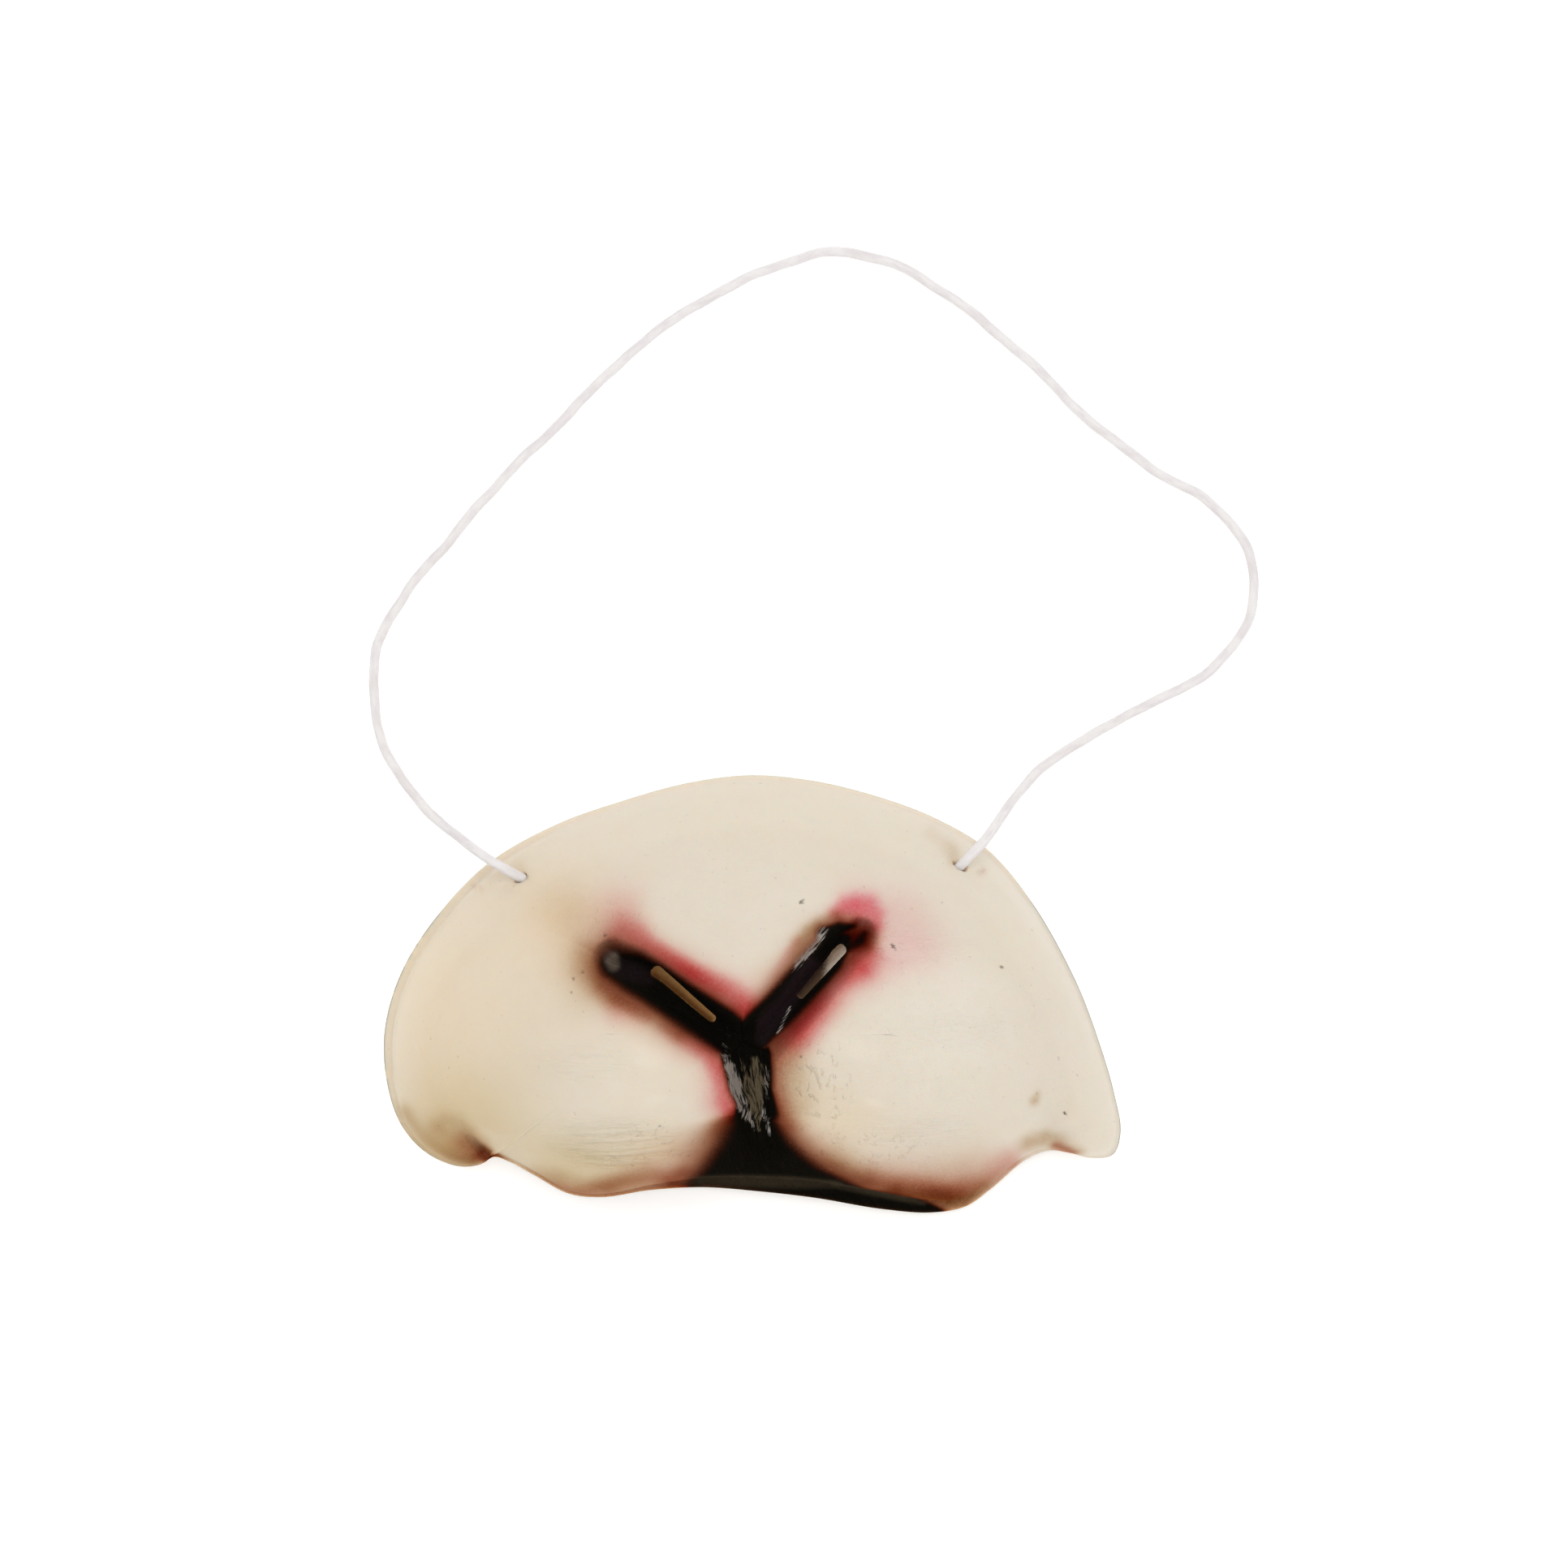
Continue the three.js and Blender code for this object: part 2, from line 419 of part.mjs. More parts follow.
// The cord: out of the hole, over the rim in a low arc, and down on the table.
const BEHIND = 3.6;            // from the outer face back to the knot's near side
const overRim = (exit, s) => [
  exit.point.clone().addScaledVector(exit.dir, -BEHIND),
  exit.point.clone(),
  exit.point.clone().addScaledVector(exit.dir, 2.0),
  ...s.rows.slice(1).map((p) => new THREE.Vector3(p.x - ORIGIN.x, p.y - ORIGIN.y,
    mix(FLOOR_Z, exit.point.z, p.lift))),
];
const route = [
  ...overRim(left, STRING_LEFT),
  ...LOOP.map((p) => new THREE.Vector3(p.x - ORIGIN.x, p.y - ORIGIN.y, FLOOR_Z)),
  ...overRim(right, STRING_RIGHT).reverse(),
];
const path = new THREE.CatmullRomCurve3(route, false, "centripetal");
path.arcLengthDivisions = 2000;
const section = new THREE.Shape();
for (let i = 0; i < 8; i++) {
  const a = ((i + 0.5) * Math.PI) / 4, r = CORD_D / 2;
  if (i) section.lineTo(r * Math.cos(a), r * Math.sin(a)); else section.moveTo(r * Math.cos(a), r * Math.sin(a));
}
section.closePath();
const cordGeometry = new THREE.ExtrudeGeometry(section, { steps: 84, extrudePath: path, bevelEnabled: false });

function knotGeometry(exit) {
  const g = new THREE.SphereGeometry(KNOT_D / 2, 14, 10);
  g.scale(1, 0.86, 1);
  g.applyQuaternion(new THREE.Quaternion().setFromUnitVectors(new THREE.Vector3(0, 1, 0), exit.dir));
  const c = exit.point.clone().addScaledVector(exit.dir, -BEHIND - GAP - (KNOT_D / 2) * 0.86);
  g.translate(c.x, c.y, c.z);
  return g;
}

// ---------------------------------------------------------------- the object
const latex = new THREE.MeshStandardMaterial({ name: "latex", color: 0xe6d8c6, roughness: 0.55, metalness: 0 });
const elastic = new THREE.MeshStandardMaterial({ name: "elastic", color: 0xf2f0ee, roughness: 0.85, metalness: 0 });
const piece = (name, geometry, material) => {
  const mesh = new THREE.Mesh(geometry, material);
  mesh.name = name;
  return mesh;
};
const clean = (geometry) => toGeometry(toSolid(geometry));

const nose = new THREE.Group();
nose.add(piece("nose_shell", toGeometry(shell), latex));
const loop = new THREE.Group();
loop.add(piece("elastic_cord", clean(cordGeometry), elastic));
loop.add(piece("cord_knot_left", clean(knotGeometry(left)), elastic));
loop.add(piece("cord_knot_right", clean(knotGeometry(right)), elastic));
nose.add(loop);

export default nose;
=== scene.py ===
"""Looks of the costume animal nose: painted latex shell, braided elastic loop and its two knots.

Lengths in the tables are millimetres in the coordinates of the model's own tables; mm() turns
them into metres in the row's frame.
"""

import math

import bmesh
import bpy
import numpy as np
from mathutils import Matrix, Vector, noise as mnoise


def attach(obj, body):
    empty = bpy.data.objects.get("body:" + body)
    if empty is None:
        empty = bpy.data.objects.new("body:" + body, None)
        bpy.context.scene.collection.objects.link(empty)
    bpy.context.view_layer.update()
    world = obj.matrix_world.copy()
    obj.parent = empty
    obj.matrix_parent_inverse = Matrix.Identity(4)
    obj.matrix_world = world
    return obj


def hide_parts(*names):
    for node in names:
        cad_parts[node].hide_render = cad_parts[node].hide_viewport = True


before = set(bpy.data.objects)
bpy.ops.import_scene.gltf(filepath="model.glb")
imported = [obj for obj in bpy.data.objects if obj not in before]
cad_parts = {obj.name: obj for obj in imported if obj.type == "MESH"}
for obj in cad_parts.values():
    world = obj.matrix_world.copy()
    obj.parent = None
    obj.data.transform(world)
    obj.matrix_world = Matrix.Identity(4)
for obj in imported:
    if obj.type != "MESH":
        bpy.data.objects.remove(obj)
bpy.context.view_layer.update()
scene = bpy.context.scene
scene.view_settings.view_transform = "Standard"
scene.view_settings.look = "None"
scene.view_settings.exposure = 0.0

# ------------------------------------------------------------------ sizes shared with the model
WALL = 1.8
SPINE = (-20.0, 20.0, -4.0)
CREST_MIDDLE, CREST_ENDS = 32.5, 29.5
CELL = 0.25
CORD_D = 1.5
HOLE_D = 2.2
FLOOR_Z = 0.8
KNOT_D = 4.4
GAP = 0.35
BEHIND = 3.6
ORIGIN = np.array([-0.025, 0.237, 0.0])


def mm(p):
    return (np.asarray(p, float) - ORIGIN) * 0.001


# name, x, y, sit, round, full, lip, rise
RIM_TOP = [
    ("cheek_left_2", -55.5, -5.4, 0.0, 2.2, 0.66, 1.6, 1.6),
    ("cheek_left_1", -53.0, 3.3, 0.0, 2.1, 0.68, 1.6, 1.6),
    ("temple_left", -47.4, 12.1, 0.0, 2.0, 0.72, 1.6, 1.5),
    ("string_left", -39.4, 20.1, 1.6, 1.8, 0.78, 1.3, 1.3),
    ("brow_left_3", -29.2, 25.8, 3.6, 1.7, 0.82, 1.0, 1.1),
    ("brow_left_2", -19.6, 29.2, 5.0, 1.7, 0.84, 0.9, 1.0),
    ("brow_left_1", -9.8, 31.9, 6.2, 1.7, 0.85, 0.8, 1.0),
    ("brow_middle", -0.2, 33.1, 6.5, 1.7, 0.85, 0.8, 1.0),
    ("brow_right_1", 8.9, 32.3, 6.2, 1.7, 0.85, 0.8, 1.0),
    ("brow_right_2", 17.5, 30.3, 5.4, 1.7, 0.84, 0.8, 1.0),
    ("brow_right_3", 27.2, 26.8, 3.6, 1.7, 0.82, 0.8, 1.0),
    ("string_right", 35.4, 21.9, 1.8, 1.8, 0.78, 0.8, 1.0),
    ("cheek_right_1", 42.3, 13.8, 0.0, 2.0, 0.72, 0.8, 1.0),
    ("cheek_right_2", 48.9, 1.9, 0.0, 2.1, 0.70, 0.8, 1.0),
    ("cheek_right_3", 52.5, -7.6, 0.0, 2.0, 0.72, 0.8, 1.0),
    ("cheek_right_4", 54.7, -15.2, 0.0, 2.0, 0.75, 0.8, 1.0),
]
RIM_BOTTOM = [
    RIM_TOP[0],
    ("cheek_left_3", -55.2, -13.0, 0.0, 2.2, 0.66, 1.4, 1.6),
    ("cheek_left_4", -53.1, -19.5, 0.0, 2.1, 0.68, 1.0, 1.6),
    ("lobe_left_3", -49.3, -23.8, 0.0, 2.1, 0.70, 0.8, 1.6),
    ("lobe_left_2", -44.4, -25.9, 0.0, 2.1, 0.68, 0.8, 1.6),
    ("lobe_left_1", -41.0, -25.6, 0.4, 2.2, 0.66, 0.8, 1.4),
    ("notch_left_2", -38.9, -24.4, 1.2, 2.3, 0.64, 0.8, 1.2),
    ("notch_left_1", -36.7, -25.0, 2.0, 2.5, 0.62, 0.8, 1.0),
    ("pad_left", -32.9, -27.0, 2.4, 2.8, 0.58, 0.8, 1.0),
    ("lip_left_1", -27.6, -29.8, 2.8, 3.0, 0.55, 0.8, 1.0),
    ("lip_left_2", -22.5, -30.3, 3.2, 3.1, 0.54, 0.9, 1.0),
    ("lip_left_3", -15.4, -29.2, 3.8, 3.1, 0.54, 1.2, 1.4),
    ("lip_left_4", -7.5, -28.7, 4.4, 3.0, 0.56, 1.8, 2.0),
    ("lip_middle", 1.0, -29.3, 4.6, 3.0, 0.58, 2.4, 2.6),
    ("lip_right_4", 9.5, -30.3, 4.4, 3.0, 0.56, 3.0, 3.0),
    ("lip_right_3", 19.3, -32.0, 3.8, 3.1, 0.54, 3.4, 3.2),
    ("lip_right_2", 26.9, -32.6, 3.2, 3.0, 0.54, 2.8, 3.0),
    ("lip_right_1", 32.1, -31.7, 3.0, 2.9, 0.56, 1.8, 2.2),
    ("pad_right", 36.0, -29.0, 2.8, 2.7, 0.58, 1.0, 1.4),
    ("notch_right_3", 40.9, -24.9, 2.4, 2.4, 0.65, 0.8, 1.0),
    ("notch_right_2", 44.6, -23.4, 2.0, 2.2, 0.69, 0.8, 1.0),
    ("notch_right_1", 47.8, -23.8, 1.2, 2.1, 0.72, 0.8, 1.0),
    ("corner_right_3", 51.1, -24.6, 0.4, 2.0, 0.74, 0.8, 1.0),
    ("corner_right_2", 54.4, -24.2, 0.0, 1.95, 0.76, 0.8, 1.0),
    ("corner_right_1", 55.6, -20.8, 0.0, 1.95, 0.76, 0.8, 1.0),
    RIM_TOP[-1],
]

# name, x, y, along, across, turn, high, flat
SWELLS = [
    ("pad_left", -20.0, -10.6, 17.5, 13.2, -24, 7.2, 1.35),
    ("pad_right", 21.5, -10.8, 19.0, 14.6, -12, 8.0, 1.35),
    ("nose_tip", -0.2, 5.0, 10.5, 9.0, 0, 3.6, 1.10),
    ("bridge", -0.8, 17.0, 13.0, 12.0, 0, 1.6, 1.10),
    ("cheek_left", -42.0, -3.0, 10.0, 14.0, 0, 1.2, 1.10),
    ("cheek_right", 42.0, -6.0, 9.0, 13.0, 12, 1.0, 1.10),
]

# name, wall share, rows of x, y, wide, deep
GROOVES = [
    ("nostril_left", 0.55, [(-20.3, 6.6, 6.0, 3.6), (-16.6, 4.8, 6.8, 5.6), (-11.2, 1.2, 7.0, 6.2),
                            (-5.6, -3.0, 6.6, 5.8), (-1.2, -6.4, 6.2, 4.6)]),
    ("nostril_right", 0.55, [(15.9, 9.8, 5.8, 3.6), (12.6, 6.6, 6.6, 5.6), (8.4, 1.8, 6.8, 6.2),
                             (4.2, -2.8, 6.4, 5.6), (1.0, -6.6, 6.2, 4.6)]),
    ("philtrum", 0.42, [(-0.3, -5.6, 8.0, 4.6), (-0.1, -9.6, 7.8, 5.4), (0.6, -14.4, 6.6, 5.8),
                        (1.4, -18.8, 6.4, 6.0), (1.6, -22.6, 9.5, 5.6), (1.8, -26.2, 15.0, 3.2)]),
]
# name, wide, rows of x, y, deep
VALLEYS = [
    ("valley_left", 6.5, [(-21.5, 8.6, 1.6), (-27.0, 11.4, 1.5), (-33.0, 14.2, 0.5)]),
    ("valley_right", 6.0, [(17.4, 12.0, 1.7), (25.0, 9.6, 1.5), (34.0, 5.4, 0.5)]),
]
CREASES = [
    ("crease_left", 5.0, [(-38.4, -24.8, 0.40), (-40.6, -22.4, 0.42), (-43.6, -19.8, 0.26), (-46.6, -17.6, 0.04)]),
    ("crease_right", 6.0, [(45.6, -24.4, 0.34), (44.4, -20.4, 0.28), (42.4, -14.8, 0.04)]),
]
# name, x0, y0, x1, y1, wide
SLITS = [
    ("slit_left", -14.2, 5.1, -5.2, -2.4, 1.5),
    ("slit_right", 13.6, 8.2, 6.9, 0.9, 1.4),
]
# x, y, lift
STRING_LEFT = (20.0, [(-34.5, 17.9, 1.0), (-38.8, 20.4, 1.06), (-41.6, 22.2, 0.78), (-44.3, 24.1, 0.38), (-46.9, 26.0, 0.09)])
STRING_RIGHT = (20.0, [(31.1, 19.7, 1.0), (34.5, 23.3, 1.06), (36.6, 26.0, 0.78), (38.6, 28.7, 0.38), (40.6, 31.1, 0.09)])
LOOP = [
    (-49.9, 28.7), (-53.2, 33.2), (-55.9, 38.6), (-57.1, 45.4), (-56.4, 52.8), (-52.4, 60.4),
    (-46.5, 67.5), (-38.4, 77.0), (-28.3, 87.0), (-18.4, 96.8), (-7.8, 104.4), (2.0, 109.2),
    (11.8, 112.0), (21.5, 110.1), (31.3, 104.2), (41.1, 96.1), (50.9, 86.6), (60.7, 79.1),
    (68.4, 74.6), (73.6, 69.2), (75.7, 62.3), (74.6, 56.2), (69.6, 49.4), (62.2, 45.0),
    (52.4, 40.0), (47.2, 36.7), (43.0, 33.6),
]


# Small relief of the casting that only the looks need: name, rows of x, y, width, height.
FOLDS = [
    ("bead_left", [(-27.6, 25.3, 0.49, 0.1), (-32.4, 22.8, 0.49, 0.16), (-35.9, 20.6, 0.49, 0.2),
        (-39.3, 17.9, 0.49, 0.22), (-42.3, 15.2, 0.49, 0.3), (-45.4, 12.7, 0.49, 0.38),
        (-47.8, 10.3, 0.49, 0.4), (-49.9, 6.5, 0.49, 0.38), (-51.5, 3.4, 0.49, 0.34), (-52.4, 1.1, 0.49, 0.3),
        (-53.5, -2.4, 0.49, 0.18), (-53.9, -5.9, 0.49, 0.04)]),
    ("bead_left_gutter", [(-26.7, 24.3, 0.61, -0.06), (-34.7, 19.9, 0.61, -0.14), (-40.8, 14.6, 0.61, -0.26),
        (-46, 9.4, 0.61, -0.34), (-47.9, 6, 0.61, -0.32), (-50.3, 0.9, 0.61, -0.26), (-51.6, -3.3, 0.6, -0.1)]),
    ("hole_left_fold", [(-39.9, 16.6, 0.49, 0.2), (-38.1, 16.8, 0.48, 0.42), (-36, 16.7, 0.48, 0.42),
        (-34.2, 16.3, 0.48, 0.15)]),
    ("hole_left_dip", [(-39.8, 17.8, 0.61, -0.2), (-37.2, 18.2, 0.73, -0.45), (-34.6, 17.8, 0.72, -0.45),
        (-33, 17.1, 0.6, -0.2)]),
    ("hole_right_dip", [(26.8, 24.3, 0.97, -0.15), (28.5, 22.8, 0.97, -0.35), (29.8, 21.6, 0.97, -0.7),
        (30.6, 20.2, 0.72, -0.45)]),
    ("hole_right_bump", [(32.8, 19.2, 0.6, 0.35), (33.3, 19, 0.48, 0.3)]),
    ("hole_right_second", [(34.1, 18.6, 0.42, -0.55), (34.6, 18.7, 0.42, -0.5)]),
    ("lobe_fold", [(-43.3, -18.6, 0.84, -0.35), (-42, -20.2, 0.72, -0.9), (-40.7, -21.9, 0.6, -1.5),
        (-39.6, -23.2, 0.61, -2.2), (-39.3, -24.7, 0.61, -2.6)]),
    ("lobe_lip", [(-43, -21.1, 1.09, 0.35), (-41.7, -22.9, 1.09, 0.6), (-40.9, -24.3, 0.97, 0.55)]),
    ("notch_fold", [(-39.3, -24.2, 0.49, -1.2), (-38.2, -24.2, 0.49, -1.6), (-37, -24.6, 0.49, -1)]),
    ("notch_thread", [(-38.5, -23, 0.19, 0.9), (-39.3, -23.8, 0.19, 1.1), (-40.1, -24.5, 0.19, 0.9)]),
    ("cheek_right_line", [(32.1, 8, 0.95, -0.12), (34.3, 6.1, 0.95, -0.22), (36.9, 4, 1.07, -0.22),
        (40, 0.6, 1.19, -0.14), (42.7, -3.5, 1.31, -0.08)]),
    ("notch_right_fold", [(48.8, -23.9, 0.86, -0.5), (46.8, -22.6, 0.97, -0.7), (44.6, -21.1, 1.09, -0.5),
        (41.8, -19.1, 1.2, -0.2)]),
]
# Shallow bowed lines in the skin.
WRINKLES = [
    ("w1", [(-26.4, -18.9, 0.31, -0.05), (-21.6, -18.7, 0.3, -0.1), (-15.7, -18.1, 0.3, -0.07),
        (-12.2, -17.6, 0.3, -0.02)]),
    ("w2", [(-25, -20.1, 0.28, -0.06), (-20.2, -19.9, 0.28, -0.12), (-15, -19.4, 0.28, -0.1),
        (-10.4, -18.6, 0.28, -0.04)]),
    ("w3", [(-25.8, -21.3, 0.28, -0.06), (-20.7, -21.3, 0.28, -0.12), (-15.8, -20.8, 0.28, -0.12),
        (-11.1, -20, 0.28, -0.05)]),
    ("w4", [(-23.9, -22.2, 0.31, -0.08), (-19.1, -22.1, 0.3, -0.16), (-14.7, -21.5, 0.3, -0.13),
        (-11.1, -20.9, 0.28, -0.05)]),
    ("w5", [(-24.7, -23.4, 0.31, -0.05), (-20.4, -23.5, 0.31, -0.1), (-15.2, -23.1, 0.31, -0.1),
        (-11.9, -22.5, 0.31, -0.04)]),
    ("w6", [(-27.6, -17.7, 0.31, -0.03), (-22.7, -17.5, 0.3, -0.06), (-17.3, -17, 0.3, -0.05)]),
    ("w7", [(-27.3, -7.1, 0.3, -0.02), (-22.6, -7.2, 0.28, -0.05), (-20, -7, 0.28, -0.02)]),
    ("w8", [(26.2, -2.7, 0.3, -0.02), (30.2, -3, 0.3, -0.05), (35.1, -3.5, 0.31, -0.03)]),
    ("w9", [(20.3, -17.7, 0.3, -0.03), (25, -18.3, 0.3, -0.05), (30.3, -18.1, 0.3, -0.03)]),
    ("w10", [(18.2, 7.6, 0.31, -0.02), (22.9, 7.5, 0.31, -0.05), (30.2, 8.1, 0.31, -0.03)]),
    ("w11", [(-10.3, 26.5, 0.29, -0.02), (-7.9, 27.2, 0.29, -0.05), (-5.1, 27.5, 0.29, -0.02)]),
]


# ------------------------------------------------------------------ small helpers
def ease(a, b, v):
    s = np.clip((v - a) / (b - a), 0, 1)
    return s * s * (3 - 2 * s)


def rim_curve(rows, first, last):
    a = np.array([r[1:] for r in rows], float)
    ext = np.vstack([np.array(first[1:], float), a, np.array(last[1:], float)])
    step = np.sqrt(np.hypot(np.diff(ext[:, 0]), np.diff(ext[:, 1])))
    d = np.diff(ext, axis=0) / step[:, None]
    h0, h1 = step[:-1, None], step[1:, None]
    slope = (d[:-1] * h1 + d[1:] * h0) / (h0 + h1)
    key = np.concatenate([[0.0], np.cumsum(step[1:-1])])

    def at(t):
        k = np.clip(t, 0, 1) * key[-1]
        i = np.clip(np.searchsorted(key, k, side="left") - 1, 0, len(key) - 2)
        h = (key[i + 1] - key[i])[..., None]
        s = ((k - key[i]) / (key[i + 1] - key[i]))[..., None]
        out = ((2 * s**3 - 3 * s**2 + 1) * a[i] + (s**3 - 2 * s**2 + s) * h * slope[i]
               + (-2 * s**3 + 3 * s**2) * a[i + 1] + (s**3 - s**2) * h * slope[i + 1])
        out[..., 2] = np.maximum(0, out[..., 2])
        return out

    return at


rim_top = rim_curve(RIM_TOP, RIM_BOTTOM[1], RIM_BOTTOM[-2])
rim_bottom = rim_curve(RIM_BOTTOM, RIM_TOP[1], RIM_TOP[-2])


def nearest(rows, x, y):
    """Distance to a polyline, its other columns there, the signed offset and the length along."""
    rows = np.array(rows, float)
    best = np.full(np.shape(x), 1e9)
    cols = np.zeros(np.shape(x) + (rows.shape[1] - 2,))
    side = np.zeros(np.shape(x))
    along = np.zeros(np.shape(x))
    run = 0.0
    for p, q in zip(rows[:-1], rows[1:]):
        dx, dy = q[0] - p[0], q[1] - p[1]
        length = math.hypot(dx, dy)
        raw = ((x - p[0]) * dx + (y - p[1]) * dy) / length**2
        s = np.clip(raw, 0, 1)
        d = np.hypot(x - p[0] - s * dx, y - p[1] - s * dy)
        hit = d < best
        best = np.where(hit, d, best)
        cols = np.where(hit[..., None], p[2:] + (q[2:] - p[2:]) * s[..., None], cols)
        side = np.where(hit, (dx * (y - p[1]) - dy * (x - p[0])) / length, side)
        along = np.where(hit, run + s * length, along)
        run += length
    return best, cols, side, along


def soft_max(values, k):
    top = np.max(values, axis=0)
    return top + k * np.log(np.sum(np.exp((values - top) / k), axis=0)) - k * math.log(len(values))


# ------------------------------------------------------------------ the outer skin
def forms(x, y):
    z = np.zeros(np.shape(x))
    for _, cx, cy, along, across, turn, high, flat in SWELLS:
        a = math.radians(turn)
        u = (x - cx) * math.cos(a) + (y - cy) * math.sin(a)
        w = -(x - cx) * math.sin(a) + (y - cy) * math.cos(a)
        z += high * np.exp(-(((u / along) ** 2 + (w / across) ** 2) ** flat))
    for _, wide, rows in VALLEYS:
        d, c, _, _ = nearest(rows, x, y)
        z -= c[..., 0] * np.exp(-((d / wide) ** 2) * 2)
    cuts = []
    for _, wall, rows in GROOVES:
        d, c, _, _ = nearest(rows, x, y)
        half = c[..., 0] / 2
        cuts.append(c[..., 1] * (1 - ease(half * (1 - wall) * 0.6, half * 1.12, d)))
    return z - np.maximum(0, soft_max(np.array(cuts), 0.35))


def relief(x, y):
    z = np.zeros(np.shape(x))
    for table in (FOLDS, WRINKLES):
        for _, rows in table:
            d, c, _, _ = nearest(rows, x, y)
            z += c[..., 1] * (2.0 if table is WRINKLES else 1.0) * np.exp(-((d / c[..., 0]) ** 2))
    return z


def skin(side, t, v, even_out=None, fine=False):
    """x, y, z of the outer skin, how far out, the rim row and the base form, for arrays t and v."""
    t, v = np.broadcast_arrays(np.asarray(t, float), np.asarray(v, float))
    rim = rim_top(t) if side > 0 else rim_bottom(t)
    s = t * t * (3 - 2 * t)
    kx = SPINE[0] + (SPINE[1] - SPINE[0]) * s
    x = kx + (rim[..., 0] - kx) * v
    y = SPINE[2] + (rim[..., 1] - SPINE[2]) * v
    reach = np.hypot(rim[..., 0] - kx, rim[..., 1] - SPINE[2])
    edge = 1 - rim[..., 5] / reach
    crest = CREST_ENDS + (CREST_MIDDLE - CREST_ENDS) * 4 * s * (1 - s)
    sit = rim[..., 2]
    foot = sit + rim[..., 6]
    dome = np.maximum(0, 1 - np.minimum(v / edge, 1) ** rim[..., 3]) ** rim[..., 4]
    high = (crest - foot) * dome
    base = foot + high
    if even_out is not None:
        high = high + raster(even_out, x, y) * ease(3.5, 9.0, (1 - v) * reach)
    high = high + forms(x, y) * ease(0, 0.45, dome)
    for _, wide, rows in CREASES:
        d, c, _, _ = nearest(rows, x, y)
        high = high * (1 - c[..., 0] * np.exp(-((d / (wide / 2)) ** 2)))
    if fine:
        high = high + relief(x, y) * ease(0.2, 1.2, (1 - v) * reach)
    z = np.where(v >= edge, foot + (sit - foot) * (v - edge) / (1 - edge), foot + np.maximum(0, high))
    return x, y, z, reach, rim, kx, base


# ------------------------------------------------------------------ rasters for the inner skin
X0, Y0, NX, NY = -60.0, -37.0, round(120 / CELL), round(74 / CELL)


def gathered(field, even_out=None):
    """A field of the skin averaged in the cells of the raster, and where the skin is."""
    total, count = np.zeros(NX * NY), np.zeros(NX * NY)
    for side in (1, -1):
        t, v = np.meshgrid(np.arange(1101) / 1100, np.arange(261) / 260, indexing="ij")
        got = skin(side, t, v, even_out)
        x, y, z = got[0], got[1], got[field]
        c = (np.floor((y - Y0) / CELL).astype(int) * NX + np.floor((x - X0) / CELL).astype(int)).ravel()
        total += np.bincount(c, z.ravel(), NX * NY)
        count += np.bincount(c, minlength=NX * NY)
    return (total / np.maximum(count, 1)).reshape(NY, NX), (count > 0).reshape(NY, NX)


def blurred(grid, mask, sigma):
    n = int(math.ceil(3 * sigma))
    k = np.exp(-0.5 * (np.arange(-n, n + 1) / sigma) ** 2)
    k /= k.sum()

    def both_ways(a):
        for axis in (0, 1):
            a = np.apply_along_axis(lambda line: np.convolve(line, k, mode="same"), axis, a)
        return a

    return both_ways(grid * mask) / np.maximum(both_ways(mask.astype(float)), 1e-6)


def build_rasters():
    # the ribs' base form evened out, so that no rib or crest line shows in the skin
    base, mask = gathered(6)
    near, far = blurred(base, mask, 8.0), blurred(base, mask, 20.0)
    inside = blurred(mask.astype(float), np.ones_like(mask), 16.0)
    even_out = np.where(mask, near + (far - near) * ease(0.90, 0.999, inside) - base, 0.0)
    high, mask = gathered(2, even_out)
    high = np.where(mask, high, -60.0)
    under = np.full((NY, NX), 1e9)
    n = math.ceil(WALL / CELL)
    for dy in range(-n, n + 1):
        for dx in range(-n, n + 1):
            d2 = (dx * CELL) ** 2 + (dy * CELL) ** 2
            if d2 > WALL * WALL:
                continue
            sag = math.sqrt(WALL * WALL - d2)
            moved = high[n + dy:NY - n + dy, n + dx:NX - n + dx] - sag
            part = under[n:NY - n, n:NX - n]
            np.minimum(part, moved, out=part)
    return even_out, high, under


def raster(grid, x, y):
    fx, fy = (x - X0) / CELL - 0.5, (y - Y0) / CELL - 0.5
    c, r = np.floor(fx).astype(int), np.floor(fy).astype(int)
    a, b = fx - c, fy - r
    return ((grid[r, c] * (1 - a) + grid[r, c + 1] * a) * (1 - b)
            + (grid[r + 1, c] * (1 - a) + grid[r + 1, c + 1] * a) * b)


EVEN, HIGH, UNDER = build_rasters()


# ------------------------------------------------------------------ camera
VIEW_HEIGHT = 700.0          # straight down on the object
VIEW_WIDE = 1932 * 0.1225    # what the picture takes in at the table
cam_data = bpy.data.cameras.new("camera")
cam = bpy.data.objects.new("camera", cam_data)
scene.collection.objects.link(cam)
cam.location = mm((4.78, 31.79, VIEW_HEIGHT))
cam.rotation_euler = (0, 0, 0)
cam_data.sensor_width = 36.0
cam_data.lens = 36.0 * VIEW_HEIGHT / VIEW_WIDE
cam_data.clip_start, cam_data.clip_end = 0.01, 10.0
scene.camera = cam


# ------------------------------------------------------------------ mesh helpers
def new_object(name, verts, faces, material_index=None, materials=()):
    me = bpy.data.meshes.new(name)
    me.from_pydata([tuple(map(float, p)) for p in verts], [], [tuple(map(int, f)) for f in faces])
    for m in materials:
        me.materials.append(m)
    if material_index is not None:
        me.polygons.foreach_set("material_index", np.asarray(material_index, np.int32))
    me.polygons.foreach_set("use_smooth", np.ones(len(me.polygons), bool))
    me.update()
    o = bpy.data.objects.new(name, me)
    scene.collection.objects.link(o)
    return o


